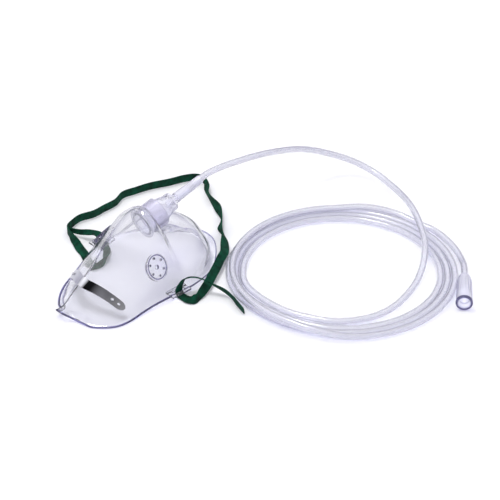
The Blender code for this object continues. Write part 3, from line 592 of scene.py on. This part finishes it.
def make_surface():
    """The smoothed sheet with its wall, creased where the photo shows a fold."""
    shape = bmesh.new()
    crease = shape.edges.layers.float.new("crease_edge")
    grid = []
    for row in CAGE:
        other = [Vector((point.x, -point.y, point.z)) for point in reversed(row[1:])]
        grid.append([shape.verts.new(lean(point)) for point in other + row])
    for first, second in zip(grid, grid[1:]):
        for column in range(2 * COLUMNS):
            shape.faces.new((first[column], second[column], second[column + 1], first[column + 1]))
    for row in range(1, DOME_FRONT + 2):
        for column in (COLUMNS - 2, COLUMNS + 2):
            shape.edges.get((grid[row][column], grid[row + 1][column]))[crease] = 0.75
    for column in range(COLUMNS - 3, COLUMNS + 3):
        shape.edges.get((grid[DOME_FRONT + 3][column], grid[DOME_FRONT + 3][column + 1]))[crease] = 0.6
    obj = piece_of("mask_moulding", shape)
    smoothing = obj.modifiers.new("smooth", "SUBSURF")
    smoothing.levels = smoothing.render_levels = 1
    pull_cage(obj, PULLS)
    smoothing.levels = smoothing.render_levels = SHELL_LEVELS
    RIM.extend(edge_loop(obj))
    wall = obj.modifiers.new("wall", "SOLIDIFY")
    wall.thickness = SHELL_WALL
    wall.offset = -1.0
    wall.use_even_offset = True
    return baked(obj)


shell = make_surface()
SURFACE = BVHTree.FromPolygons([vertex.co.copy() for vertex in shell.data.vertices],
                               [tuple(face.vertices) for face in shell.data.polygons])
print("shell surface:", len(shell.data.polygons), "faces")

# %% [markdown]
# The port, the vent discs, the pegs of the nose clip and the lugs of the strap are joined to the
# shell, and the bores and holes are cut, with Boolean modifiers. The order matters: what is joined
# comes before what is cut through it.

# %% Port, vents, pegs and lugs
PORT_OUTER = 22.0 * MM
PORT_BORE = 20.0 * MM
PORT_OUT = 8.0 * MM
PORT_IN = 3.2 * MM
VENT_DISC = 20.5 * MM
VENT_PROUD = 1.1 * MM
VENT_BREADTH = 0.84
VENT_TURN = math.radians(6.0)
VENT_SET = math.radians(41.0)
VENT_GROOVE = 0.9 * MM
VENT_CIRCLE = 13.6 * MM
VENT_HOLE = 1.9 * MM
VENT_CENTRE_HOLE = 3.4 * MM
VENT_AT = (-0.013, 0.660)
LUG_AT = 0.105
LUG_SIZE = (17.0 * MM, 9.0 * MM, 1.6 * MM)
SLOT_SIZE = (10.5 * MM, 3.6 * MM, 20 * MM)
SLOT_BAR = 2.4 * MM
CLIP_WIDTH = 7.0 * MM
CLIP_SPAN = 28.5 * MM
CLIP_THICK = 0.8 * MM
CLIP_MIDDLE = -49.0 * MM
CLIP_SWEEP = 11.0 * MM
CLIP_LIFT = 0.69 * MM
PEG_PLACES = (24.5 * MM, 20.1 * MM)
PEG_RADIUS = 0.9 * MM
PEG_HOLE_RADIUS = 1.2 * MM
PEG_PROUD = 0.7 * MM
THROUGH = 6 * MM
TABLE_CUT = (0.4, 0.4, 0.04)
CUTTERS = bpy.data.collections.new("cutters")
bpy.context.scene.collection.children.link(CUTTERS)


def cutter(name, shape, frame_at):
    """A body that only joins or cuts, so it is hidden in renders and drawn as wire."""
    mesh = bpy.data.meshes.new(name)
    shape.to_mesh(mesh)
    shape.free()
    obj = bpy.data.objects.new(name, mesh)
    CUTTERS.objects.link(obj)
    obj.matrix_world = frame_at
    obj.hide_render = True
    obj.display_type = "WIRE"
    return obj


def bar(name, radius, low, high, frame_at, segments=48, ring=None):
    """A round bar between two heights on a frame's axis, or a flat ring where an inner radius is given."""
    shape = bmesh.new()
    bmesh.ops.create_cone(shape, cap_ends=True, segments=segments, radius1=radius, radius2=radius, depth=high - low)
    bmesh.ops.translate(shape, verts=shape.verts, vec=(0, 0, (low + high) / 2))
    obj = cutter(name, shape, frame_at)
    if ring:
        cut(obj, bar(name + "_core", ring, low - MM, high + MM, frame_at, segments), "DIFFERENCE")
    return obj


def block(name, size, place):
    """A box of a size, with its middle at a place."""
    shape = bmesh.new()
    bmesh.ops.create_cube(shape, size=1.0)
    bmesh.ops.scale(shape, verts=shape.verts, vec=size)
    return cutter(name, shape, Matrix.Translation(place))


def cut(obj, other, operation):
    """Join another body to the piece or cut it out, as a Boolean modifier."""
    modifier = obj.modifiers.new(operation.lower(), "BOOLEAN")
    modifier.operation = operation
    modifier.object = other


def drop(x, y):
    """Point and direction of the shell's outer surface under a place."""
    place, normal, _, _ = SURFACE.ray_cast(Vector((x, y, 1.0)), Vector((0, 0, -1)))
    return place, (normal if normal.z > 0 else -normal)


def clip_seat(share):
    """Where the middle line of the nose clip lies, from -1 at one end of the strip to 1 at the other."""
    straight = Vector((CLIP_MIDDLE + CLIP_SWEEP * abs(share), CLIP_SPAN * share, 0.0))
    seat = lean(straight)
    for _ in range(4):
        straight.z = drop(seat.x, seat.y)[0].z
        seat = lean(straight)
    return seat


def vent_frame(side):
    """The frame of a vent disc: it lies on the cheek like a coin laid on four points of it."""
    seat = shell_point(VENT_AT[0], VENT_AT[1], 0.0)
    place, _ = drop(seat.x, side * seat.y)
    spread = VENT_DISC * 0.42
    ring = [drop(seat.x + spread * math.cos(turn), side * seat.y + 0.6 * spread * math.sin(turn))[0]
            for turn in (0.0, math.pi / 2, math.pi, 3 * math.pi / 2)]
    lengthwise = (ring[0] - ring[2]).normalized()
    upward = side * (ring[3] - ring[1]).normalized()
    upward = (upward - lengthwise * upward.dot(lengthwise)).normalized()
    seat = Matrix((lengthwise, upward, lengthwise.cross(upward))).transposed().to_4x4()
    if side > 0:
        seat = seat @ Matrix.Rotation(math.pi, 4, "Y")
    turn = Matrix.Rotation(side * -VENT_TURN, 4, "Y") @ Matrix.Rotation(side * VENT_SET, 4, "Z")
    return Matrix.Translation(place) @ seat @ turn @ Matrix.Diagonal((VENT_BREADTH, 1.0, 1.0, 1.0))


PEGS = []
for share in [side * spot / CLIP_SPAN for side in (-1, 1) for spot in PEG_PLACES]:
    seat = clip_seat(share)
    PEGS.append(drop(seat.x, seat.y))


def finish_shell(obj):
    cut(obj, bar("port_wall", PORT_OUTER / 2, -PORT_IN, PORT_OUT, PORT, 96), "UNION")
    for side in (-1, 1):
        cut(obj, bar("vent_disc", VENT_DISC / 2, -1.6 * SHELL_WALL, VENT_PROUD, vent_frame(side), 64), "UNION")
    for place, normal in PEGS:
        peg = bar("clip_peg", PEG_RADIUS, -0.5 * MM, CLIP_LIFT + CLIP_THICK + PEG_PROUD, along(place, normal), 16)
        cut(obj, peg, "UNION")
    reach = PORT_OUT + 3 * PORT_IN
    cut(obj, bar("port_bore", PORT_BORE / 2, -reach, reach, PORT, 96), "DIFFERENCE")
    for side in (-1, 1):
        vent = vent_frame(side)
        cut(obj, bar("vent_groove", VENT_DISC / 2 - VENT_GROOVE, VENT_PROUD - 0.5 * MM, VENT_PROUD + MM, vent, 64,
                     ring=VENT_DISC / 2 - 2 * VENT_GROOVE), "DIFFERENCE")
        for turn in [math.pi * count / 3 for count in range(6)]:
            spot = Matrix.Translation((VENT_CIRCLE / 2 * math.cos(turn), VENT_CIRCLE / 2 * math.sin(turn), 0))
            cut(obj, bar("vent_hole", VENT_HOLE / 2, -THROUGH, THROUGH, vent @ spot, 16), "DIFFERENCE")
        cut(obj, bar("vent_middle", VENT_CENTRE_HOLE / 2, -THROUGH, THROUGH, vent, 24), "DIFFERENCE")
    cut(obj, block("table", TABLE_CUT, Vector((0, 0, -TABLE_CUT[2] / 2))), "DIFFERENCE")
    fine = catmull([shell_point(*point) for point in OUTLINE], 401)
    edge = min(fine, key=lambda point: abs(point.x - LUG_AT * CHIN_REACH) + (0 if point.y > 0.02 else 1))
    for side in (-1, 1):
        middle = edge.y + LUG_SIZE[1] / 2 - 2 * FLANGE_CHEEK
        cut(obj, block("strap_lug", LUG_SIZE, Vector((edge.x, side * middle, edge.z - 0.15 * MM))), "UNION")
        middle = edge.y + LUG_SIZE[1] - 2 * FLANGE_CHEEK - SLOT_BAR - SLOT_SIZE[1] / 2
        cut(obj, block("strap_slot", SLOT_SIZE, Vector((edge.x, side * middle, edge.z))), "DIFFERENCE")
    done = baked(obj)
    done.matrix_world = TO_PART
    return done


shell = finish_shell(shell)
smooth(shell, 38)
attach(shell, "root")
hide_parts("mask_shell")
print("moulding:", len(shell.data.polygons), "faces")

# %% [markdown]
# The edge of the moulding is rolled over into a thin bead, which reads as a violet line round a clear
# mask; its dark violet is painted shade, a darker and strongly absorbing copy of the plastic. The open
# edge of the sheet was kept as a row of points before it got its wall; a round bevel on a closed curve
# through them makes the bead.

# %% Rolled edge
BEAD_RADIUS = 0.75 * MM
BEAD_SMOOTHING = 6

# Towards the chin the bead gets thinner by this share, from one place along the mask over a stretch
BEAD_THINS = 0.55
THINS_FROM = 10 * MM
THINS_OVER = 30 * MM


def make_bead():
    """The open edge, evened out a little, as a closed bevelled curve that rests on the table."""
    curve = bpy.data.curves.new("rolled_edge", "CURVE")
    curve.dimensions = "3D"
    curve.bevel_depth = BEAD_RADIUS
    curve.bevel_resolution = 3
    for _ in range(BEAD_SMOOTHING):
        neighbours = zip(RIM[-1:] + RIM, RIM, RIM[1:] + RIM[:1])
        RIM[:] = [(before + 2 * here + after) / 4 for before, here, after in neighbours]
    spline = curve.splines.new("POLY")
    spline.points.add(len(RIM) - 1)
    for target, point in zip(spline.points, RIM):
        target.co = (point.x, point.y, max(point.z - SHELL_WALL / 2, BEAD_RADIUS), 1.0)
        target.radius = 1.0 - BEAD_THINS * clamp((point.x - THINS_FROM) / THINS_OVER)
    spline.use_cyclic_u = True
    obj = baked(add_piece("rolled_edge", curve))
    obj.matrix_world = TO_PART
    obj.data.shade_smooth()
    return obj


bead = make_bead()
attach(bead, "root")
print("rolled edge:", len(RIM), "points")

# %% [markdown]
# ## Air adapter
# A hard clear piece that clips into the port from outside: a lip inside the mask, a sleeve, a cone
# and a collar with six small windows that let room air in, and the nozzle for the cuff. It is
# turned from one outline, and the windows are cut with boxes.

# %% Air adapter
WINDOWS = 6
WINDOW_SIZE = (5.8 * MM, 2.2 * MM, 3.4 * MM)
WINDOW_AT = (7.0 * MM, 0, 17.0 * MM)


def make_adapter():
    obj = turned("air_adapter", (
        (1.3, 37.8, 0), (1.9, 37.8, 0), (2.3, 35.8, 0), (2.3, 24.8, 0), (3.6, 24.8, 0), (3.8, 24.5, 0), (3.8, 21.2, 0),
        (6.5, 21.2, 0), (6.8, 21.1, 0), (7.0, 20.6, 0), (7.0, 18.0, 0), (9.2, 9.2, 0), (9.6, 8.6, 0), (9.7, 7.5, 0),
        (9.7, -8.0, 0), (11.5, -8.0, 0), (11.7, -8.2, 0), (11.7, -9.2, 0), (11.5, -9.4, 0), (8.4, -9.4, 0),
        (8.4, 7.7, 0), (5.7, 16.7, 0), (5.7, 19.9, 0), (2.6, 19.9, 0), (2.6, 15.0, 0), (1.3, 14.0, 0)), PORT)
    for count in range(WINDOWS):
        turn = Matrix.Rotation(2 * math.pi * (count + 0.5) / WINDOWS, 4, "Z")
        window = block("air_window", WINDOW_SIZE, Vector())
        window.matrix_world = TO_PART @ PORT @ turn @ Matrix.Translation(WINDOW_AT)
        cut(obj, window, "DIFFERENCE")
    obj = baked(obj)
    smooth(obj, 40)
    return obj


adapter = make_adapter()
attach(adapter, "root")
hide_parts("port_adapter")
print("adapter:", len(adapter.data.polygons), "faces")

# %% [markdown]
# ## Soft clear PVC
# Plasticised PVC is clear with a faint blue-violet cast: seen face on it is nearly colourless, and
# where it turns away, light has a long way of plastic to cross and comes out a dark violet. Layer
# Weight finds those edges and a colour ramp tints them, which keeps the line in hand on a wall only
# a millimetre thick. The tubing has a volume absorption as well, for the colour gathered inside it.
# The rolled edge has a far stronger one and a darker face tone, painted shade for its dark line. The
# shell has none, because a mesh whose faces carry different volumes renders with dark blobs. Darker
# copies of the plastic paint shade on the port and on the walls of grooves and holes. Light Path lets
# the lamp's light through, so the shadow of a clear thing stays pale.

# %% PVC materials


WAVES_A_METRE = 45.0


def clear_plastic(name, ior, roughness, face, edge, shade, depth=0.0, bump_mm=0.0, haze=0.0, shine=0.5, coat=0.0,
                  turn=(0.62, 0.97)):
    """Refracting plastic: surface gloss, darker where it is seen edge on, a milky haze, a pale shadow.

    face and edge are its tones face on and edge on, and turn says between which slants it changes.
    shade is the tone of its shadow, and bump_mm the height of slow waves, about 22 mm from one to the next.
    """
    material, tree, output = new_material(name)
    facing = add_node(tree, "LayerWeight", Blend=0.5)
    tint = add_ramp(tree, facing.outputs["Facing"], ((turn[0], face), (turn[1], edge)))
    links = {"Base_Color": tint, "Roughness": roughness, "IOR": ior, "Transmission_Weight": 1.0,
             "Specular_IOR_Level": shine, "Coat_Weight": coat, "Coat_Roughness": 0.05}
    if bump_mm:
        where = add_node(tree, "TexCoord")
        waves = add_node(tree, "TexNoise", Vector=where.outputs["Object"], Scale=WAVES_A_METRE, Detail=2.0)
        links["Normal"] = add_node(tree, "Bump", Height=waves.outputs["Fac"], Distance=bump_mm * MM,
                                   Strength=0.6).outputs["Normal"]
    surface = add_node(tree, "BsdfPrincipled", **links)
    if haze:
        milk = add_node(tree, "BsdfPrincipled", Base_Color=tint, Roughness=0.3, IOR=ior,
                        Coat_Weight=coat, Coat_Roughness=0.05)
        surface = add_node(tree, "MixShader", i0=haze, i1=surface.outputs["BSDF"], i2=milk.outputs["BSDF"])
    clear = add_node(tree, "BsdfTransparent", Color=linear(shade))
    path = add_node(tree, "LightPath")
    mix = add_node(tree, "MixShader", i0=path.outputs["Is Shadow Ray"], i1=surface.outputs[0],
                   i2=clear.outputs["BSDF"])
    tree.links.new(mix.outputs["Shader"], output.inputs["Surface"])
    if depth:
        inside = add_node(tree, "VolumeAbsorption", Color=linear("#A8A4CC"), Density=depth)
        tree.links.new(inside.outputs["Volume"], output.inputs["Volume"])
    return material


# Thin clear wall: nearly colourless face on, glossy, with dark violet edges
mask_pvc = clear_plastic("soft_pvc_moulded", 1.53, 0.04, "#F3F3F5", "#3C3770", "#D2D2DA", bump_mm=0.4,
                         haze=0.03, shine=0.3, turn=(0.66, 0.97))
# The same plastic on the port's wall: a little milky, and greyer as painted shade
greyed_port_pvc = clear_plastic("soft_pvc_port_painted_shade", 1.53, 0.12, "#E8E6F1", "#544E8C", "#E6E6EF", haze=0.22)
# Painted shade: a dark violet copy of the plastic on the upright walls of grooves and holes, on the
# groove floors and on the connector's mouth lip, which the eye takes for fine dark lines
painted_shade_pvc = clear_plastic("soft_pvc_painted_shade_edge", 1.53, 0.1, "#4F4A7A", "#26224C", "#C9C8DA", haze=0.2)
# The rolled edge, read as a violet line round the mask: a darker copy of the plastic, painted shade for that line
rim_pvc = clear_plastic("soft_pvc_rolled_edge", 1.53, 0.08, "#A9A5CE", "#5A5494", "#EDEDF5", depth=500.0)
# Extruded tubing: a soft body under a glossy skin, greyer where strands lie one behind another
tube_pvc = clear_plastic("soft_pvc_extruded", 1.53, 0.2, "#F5F5F9", "#55527A", "#EAEAF1", depth=22.0, haze=0.24,
                         coat=1.0, turn=(0.56, 0.95))
# Moulded sleeves: milkier than the tubing they hold
sleeve_pvc = clear_plastic("soft_pvc_sleeve", 1.53, 0.12, "#F4F4FA", "#7C77A8", "#F2F2F8", haze=0.4)
# Hard clear plastic: brighter and crisper than the soft ones
hard_clear = clear_plastic("clear_polystyrene", 1.55, 0.06, "#F6F6FB", "#7C77A8", "#F7F7FB", haze=0.15)
bead.data.materials.append(rim_pvc)
tubing.data.materials.append(tube_pvc)
adapter.data.materials.append(hard_clear)
for sleeve in (cuff, connector):
    sleeve.data.materials.append(sleeve_pvc)
    sleeve.data.materials.append(painted_shade_pvc)
# Painted shade: the lip round the connector's mouth takes the dark plastic, a dark ring round the opening
MOUTH_RING_FROM = 30.9 * MM
for face in connector.data.polygons:
    if (CONNECTOR_SEAT.inverted() @ face.center).z > MOUTH_RING_FROM:
        face.material_index = 1
shell.data.materials.clear()
for plastic in (mask_pvc, greyed_port_pvc, painted_shade_pvc):
    shell.data.materials.append(plastic)


PORT_SKIN = (9.6 * MM, 11.2 * MM)
VENT_DEPTH = 3 * MM


def finish_faces(mesh):
    """Painted shade: the greyer plastic on the port, and the dark plastic on the upright walls of the vent discs and
    their holes and on the groove floors.
    """
    to_port = PORT.inverted()
    vents = [(vent_frame(side).inverted(), vent_frame(side).col[2].xyz) for side in (-1, 1)]
    for face in mesh.polygons:
        spot = to_port @ face.center
        round_port = PORT_SKIN[0] < math.hypot(spot.x, spot.y) < PORT_SKIN[1]
        # Painted shade: the port's wall takes the greyer copy of the plastic
        if round_port and -PORT_IN - MM < spot.z < PORT_OUT + MM:
            face.material_index = 1
        for to_vent, axis in vents:
            spot = to_vent @ face.center
            out = math.hypot(spot.x, spot.y)
            # Painted shade: upright walls and groove floors inside the disc take the dark plastic
            upright = abs(face.normal.dot(axis)) < 0.4 and abs(spot.z) < VENT_DEPTH
            shaded_groove_floor = abs(spot.z - VENT_PROUD + 0.5 * MM) < 0.06 * MM
            if out < VENT_DISC / 2 - 0.8 * VENT_GROOVE and (upright or shaded_groove_floor):
                face.material_index = 2


finish_faces(shell.data)
print("plastics:", len(bpy.data.materials), "materials")

# %% [markdown]
# ## Nose clip
# A strip of soft aluminium, pinched over the bridge of the nose and held by pegs. It is laid as a
# row of points dropped on the shell, thickened with Solidify, and its corners are rounded in the
# rows themselves.

# %% Nose clip


def make_clip():
    """Rows of points across the strip, laid on the shell, rounded at the ends and thickened."""
    steps, shape, rows = 60, bmesh.new(), []
    for step in range(steps + 1):
        share = -1.0 + 2.0 * step / steps
        seat = clip_seat(share)
        to_end, half = CLIP_SPAN * (1.0 - abs(share)), CLIP_WIDTH / 2
        if to_end < half:
            half = max(math.sqrt(half ** 2 - (half - to_end) ** 2), 0.15 * half)
        row = []
        for across in (-half, -half / 2, 0.0, half / 2, half):
            place, normal = drop(seat.x + across, seat.y)
            row.append(shape.verts.new(place + normal * CLIP_LIFT))
        rows.append(row)
    for first, second in zip(rows, rows[1:]):
        for column in range(4):
            shape.faces.new((first[column], first[column + 1], second[column + 1], second[column]))
    bmesh.ops.smooth_vert(shape, verts=shape.verts, factor=0.4, use_axis_x=True, use_axis_y=True, use_axis_z=True)
    bmesh.ops.recalc_face_normals(shape, faces=shape.faces)
    shape.faces.ensure_lookup_table()
    if shape.faces[2 * steps].normal.z < 0:
        bmesh.ops.reverse_faces(shape, faces=shape.faces)
    clip = piece_of("aluminium_nose_strip", shape)
    sheet = clip.modifiers.new("sheet", "SOLIDIFY")
    sheet.thickness = CLIP_THICK
    sheet.offset = 1.0
    for place, normal in PEGS:
        cut(clip, bar("peg_hole", PEG_HOLE_RADIUS, -2 * MM, 4 * MM, along(place, normal), 20), "DIFFERENCE")
    clip = baked(clip)
    clip.matrix_world = TO_PART
    smooth(clip, 38)
    return clip


clip = make_clip()
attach(clip, "root")
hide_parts("nose_clip")
print("nose clip:", len(clip.data.polygons), "faces")

# %% Rolled aluminium


def rolled_aluminium():
    """Bright rolled strip with a painted reflection in its base colour.

    Mid grey at the near end, near black just before the bridge, where the metal would mirror the dark side
    of the room, and a painted highlight in light grey from the bridge on, over the far half.
    """
    material, tree, output = new_material("rolled_aluminium")
    where = add_node(tree, "TexCoord")
    apart = add_node(tree, "SeparateXYZ", Vector=where.outputs["Object"])
    along_strip = add_node(tree, "MapRange", {"clamp": True}, Value=apart.outputs["Y"],
                           i1=-37.0 * MM, i2=-3.0 * MM, i3=0.0, i4=1.0)
    # Painted reflection and highlight: mid grey, darker grey, near black up to the bridge, then light grey
    tones = ((0.0, "#8A8A8E"), (0.35, "#55555A"), (0.72, "#0B0B0D"), (0.85, "#0B0B0D"), (0.9, "#C8C8D0"))
    colour = add_ramp(tree, along_strip.outputs["Result"], tones)
    grain_place = add_node(tree, "Mapping", Vector=where.outputs["Object"], Scale=(4000.0, 120.0, 4000.0))
    grain = add_node(tree, "TexNoise", Vector=grain_place.outputs["Vector"], Scale=1.0, Detail=2.0)
    bump = add_node(tree, "Bump", Height=grain.outputs["Fac"], Distance=0.02 * MM, Strength=0.4)
    surface = add_node(tree, "BsdfPrincipled", Base_Color=colour, Metallic=1.0,
                       Roughness=0.32, Normal=bump.outputs["Normal"])
    tree.links.new(surface.outputs["BSDF"], output.inputs["Surface"])
    return material


clip.data.materials.clear()
clip.data.materials.append(rolled_aluminium())
print("clip material done")

# %% [markdown]
# ## Head strap
# Flat knitted elastic, about 7 mm wide and under a millimetre thick. It stands on its edge on the table
# behind the mask and goes through a lug on each side. A flat strap is modelled directly: a route of
# points with the way its width points, and a thin rectangle carried along it.

# %% Strap
STRAP_WIDTH = 6.8 * MM
STRAP_THICK = 0.9 * MM

# Each point: x, y, z in millimetres, then the way its width points, shorter where the band is folded
STRAP_ROUTE = (
    (-1, 70, 4.2, 0, 0, 0.6), (2, 62, 5, 0.2, 0, 0.6), (5, 55, 6.8, 0.6, 0, 0.4), (7.5, 48.6, 8.0, 0.9, 0, 0),
    (8, 45.0, 7.0, 1, 0, 0), (8, 44.1, 4.4, 1, 0, 0), (8, 43.9, 2.6, 1, 0, 0), (7.5, 42.5, 1.2, 1, 0, 0),
    (5, 36, 0.9, 1, 0.2, 0), (0, 29, 1.8, 0.9, -0.2, 0.5), (-7, 22, 4.0, 0.1, 0, 1), (-15, 21, 4.2, 0, 0, 1),
    (-16.5, 28, 2.4, 0.8, 0, 0.5), (-13.5, 34, 0.7, 1, 0, 0), (-10, 42, 0.7, 1, 0, 0), (-8, 50, 0.9, 1, 0, 0.1),
    (-6.5, 56, 2.4, 0.7, 0, 0.6), (-5.5, 62, 3.6, 0.3, 0, 0.95), (-4, 67, 4, 0, 0, 1), (-1, 73, 4, 0, 0, 1),
    (6, 76, 4, 0, 0, 1), (15, 77.6, 4, 0, 0, 1), (26, 74.7, 4, 0, 0, 1), (37, 75, 4, 0, 0, 1),
    (48, 75.2, 4, 0, 0, 1), (59, 79.3, 4, 0, 0, 1), (70, 77.2, 4, 0, 0, 1), (83, 74, 4, 0, 0, 1),
    (97, 68, 4, 0, 0, 1), (109, 64, 4, 0, 0, 1), (117, 59, 4, 0, 0, 1), (119.5, 52, 4, 0, 0, 1),
    (114, 42.5, 4, 0.4, -0.35, 0.85), (106.4, 31.2, 4, -0.1, 0.1, 1), (101, 16, 4, 0.45, -0.4, 0.8),
    (94, 3.5, 4, 0, 0, 1), (85.2, -3.8, 4, 0.35, -0.3, 0.9), (79.2, -14.8, 4, -0.3, 0.3, 0.9),
    (71.5, -24, 4.2, -0.7, 0.6, 0.4), (63, -32.8, 5.6, -0.7, 0.6, 0.4), (55, -37.6, 6.2, -0.55, 0.65, 0.5),
    (47, -42.6, 6.2, -0.4, 0.7, 0.6), (38, -47.6, 5.8, -0.35, 0.75, 0.6), (27.5, -53, 4.6, -0.3, 0.75, 0.6),
    (18, -57, 4.0, 0, 0.55, 0.85),
    (11.5, -58.5, 3.0, 0.6, 0.1, 0.8), (8.4, -55, 1.7, 1, 0, 0.3),
    (8, -50, 0.9, 1, 0, 0), (8, -47, 0.9, 1, 0, 0), (8, -45.0, 1.2, 1, 0, 0), (8, -44.0, 2.4, 1, 0, 0),
    (8, -43.8, 4.4, 1, 0, 0), (8.2, -44.0, 6.5, 1, 0, 0),
    (9.5, -44.4, 9.5, 0.8, 0.1, -0.1), (13, -45, 12.6, 0.7, 0.3, -0.3), (18, -48, 13.4, 0.5, 0.45, -0.45),
    (23, -53, 11.6, 0.4, 0.4, -0.4), (27.5, -60, 8, 0.3, 0.4, -0.5), (31.3, -67, 4.8, 0.2, 0.3, -0.65),
    (31.3, -75.5, 3.4, 0.1, 0.2, -0.55), (28.8, -84, 3.2, 0.2, 0.3, -0.75), (26.3, -93, 3.2, 0.2, 0.25, -0.7),
)
STRAP_STEPS = 420

# Section of the band with softened corners, as shares of its half width and half thickness
STRAP_SECTION = (
    (1.0, 0.4), (0.94, 1.0), (0.5, 1.0), (0.0, 1.0), (-0.5, 1.0), (-0.94, 1.0), (-1.0, 0.4),
    (-1.0, -0.4), (-0.94, -1.0), (-0.5, -1.0), (0.0, -1.0), (0.5, -1.0), (0.94, -1.0), (1.0, -0.4),
)


def make_strap():
    """The section carried along the route, with a UV map in millimetres for the knit."""
    route = [[value * MM for value in point[:3]] + [value * STRAP_WIDTH / 2 for value in point[3:]]
             for point in STRAP_ROUTE]
    samples = catmull(route, STRAP_STEPS)
    shape, rings = bmesh.new(), []
    uv = shape.loops.layers.uv.new("along_strap")
    for index, sample in enumerate(samples):
        middle = Vector(sample[:3])
        run = (Vector(samples[min(index + 1, len(samples) - 1)][:3])
               - Vector(samples[max(index - 1, 0)][:3])).normalized()
        width = Vector(sample[3:])
        reach = width.length
        width = (width - run * width.dot(run)).normalized() * reach
        face = run.cross(width).normalized() * (STRAP_THICK / 2)
        ring = [middle + width * w + face * f for w, f in STRAP_SECTION]
        lift = max(0.1 * MM - min(corner.z for corner in ring), 0.0)
        rings.append([shape.verts.new(corner + Vector((0, 0, lift))) for corner in ring])
    length = sum((Vector(b[:3]) - Vector(a[:3])).length for a, b in zip(samples, samples[1:]))
    for index, (first, second) in enumerate(zip(rings, rings[1:])):
        for side in range(len(STRAP_SECTION)):
            after = (side + 1) % len(STRAP_SECTION)
            face = shape.faces.new((first[side], first[after], second[after], second[side]))
            spots = ((index, side), (index, after), (index + 1, after), (index + 1, side))
            for loop, (row, column) in zip(face.loops, spots):
                loop[uv].uv = (length * row / (STRAP_STEPS - 1) / MM,
                               STRAP_SECTION[column][0] * STRAP_WIDTH / 2 / MM)
    shape.faces.new(list(reversed(rings[0])))
    shape.faces.new(rings[-1])
    bmesh.ops.recalc_face_normals(shape, faces=shape.faces)
    strap = piece_of("elastic_head_strap", shape)
    strap.matrix_world = TO_PART
    smooth(strap, 50)
    print("strap measures", round(length, 3), "m")
    return strap


strap = make_strap()
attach(strap, "root")
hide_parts("head_strap")

# %% Knitted elastic


RIB_SPACING = 0.9
YARN_SPACING = 0.7


def knitted_elastic():
    """Ribbed knit: rubber cores run along the band a millimetre apart, the yarn crosses them."""
    material, tree, output = new_material("knitted_elastic")
    where = add_node(tree, "UVMap", {"uv_map": "along_strap"})
    place = add_node(tree, "SeparateXYZ", Vector=where.outputs["UV"])
    ribs, yarn = (
        add_node(tree, "Math", {"operation": "SINE"},
                 i0=add_node(tree, "Math", {"operation": "MULTIPLY"}, i0=place.outputs[axis],
                             i1=2 * math.pi / spacing).outputs["Value"])
        for axis, spacing in (("Y", RIB_SPACING), ("X", YARN_SPACING)))
    knit = add_node(tree, "Math", {"operation": "ADD"}, i0=ribs.outputs["Value"], i1=yarn.outputs["Value"])
    fuzz = add_node(tree, "TexNoise", Vector=where.outputs["UV"], Scale=0.22, Detail=4.0)
    green = add_ramp(tree, fuzz.outputs["Fac"], ((0.3, "#002418"), (0.75, "#04523A")))
    bump = add_node(tree, "Bump", Height=knit.outputs["Value"], Distance=0.12 * MM, Strength=0.5)
    surface = add_node(tree, "BsdfPrincipled", Base_Color=green, Roughness=0.85,
                       Specular_IOR_Level=0.2, Normal=bump.outputs["Normal"])
    tree.links.new(surface.outputs["BSDF"], output.inputs["Surface"])
    return material


strap.data.materials.clear()
strap.data.materials.append(knitted_elastic())
print("strap material done")

# %% [markdown]
# ## Room
# A white table, a room with a bright ceiling and dimmer walls, and one round soft lamp nearly
# overhead, where its mirror image stays off the cheek. The camera sees plain white past the table;
# clear plastic picks up the dim walls at its edges, which is what draws it on a white ground.

# %% Table, room and lamp


ROOM_LEVEL = 0.98
LAMP_AT = (-0.15, 0.3, 1.85)
LAMP_SIZE = 0.5
LAMP_WATTS = 11.0


def pale_table():
    """Plain matt white, so bright that only the shadows show on it."""
    mesh = bpy.data.meshes.new("table_top")
    mesh.from_pydata([(-3, -3, 0), (3, -3, 0), (3, 3, 0), (-3, 3, 0)], [], [(0, 1, 2, 3)])
    table = bpy.data.objects.new("table_top", mesh)
    bpy.context.scene.collection.objects.link(table)
    table.location.z = -0.1 * MM
    material, tree, output = new_material("white_laminate")
    surface = add_node(tree, "BsdfPrincipled", Base_Color=linear("#FBFBFD"), Roughness=0.9,
                       Specular_IOR_Level=0.0)
    tree.links.new(surface.outputs["BSDF"], output.inputs["Surface"])
    mesh.materials.append(material)


def white_room(level):
    """White to the camera; the light comes from a bright ceiling above dimmer, faintly violet walls."""
    world = bpy.data.worlds.new("white_room")
    bpy.context.scene.world = world
    world.use_nodes = True
    tree = world.node_tree
    tree.nodes.clear()
    where = add_node(tree, "TexCoord")
    apart = add_node(tree, "SeparateXYZ", Vector=where.outputs["Generated"])
    tones = ((0.0, "#6E6A92"), (0.22, "#8884A8"), (0.45, "#DCDCE8"), (0.62, "#FFFFFF"))
    sky = add_ramp(tree, apart.outputs["Z"], tones)
    path = add_node(tree, "LightPath")
    dim = add_node(tree, "Background", Color=sky, Strength=level)
    white = add_node(tree, "Background", Color=linear("#FFFFFF"), Strength=1.0)
    mix = add_node(tree, "MixShader", i0=path.outputs["Is Camera Ray"], i1=dim.outputs["Background"],
                   i2=white.outputs["Background"])
    output = tree.nodes.new("ShaderNodeOutputWorld")
    tree.links.new(mix.outputs["Shader"], output.inputs["Surface"])


def soft_lamp(name, place, size, watts):
    """A round area lamp that looks at the mask."""
    data = bpy.data.lights.new(name, "AREA")
    data.shape = "DISK"
    data.size = size
    data.energy = watts
    lamp = bpy.data.objects.new(name, data)
    bpy.context.scene.collection.objects.link(lamp)
    lamp.location = place
    lamp.rotation_euler = (Vector(place) - at(40, -40)).to_track_quat("Z", "Y").to_euler()


pale_table()
white_room(ROOM_LEVEL)
soft_lamp("soft_box", LAMP_AT, LAMP_SIZE, LAMP_WATTS)
bpy.context.scene.view_settings.view_transform = "Standard"
print("room done")
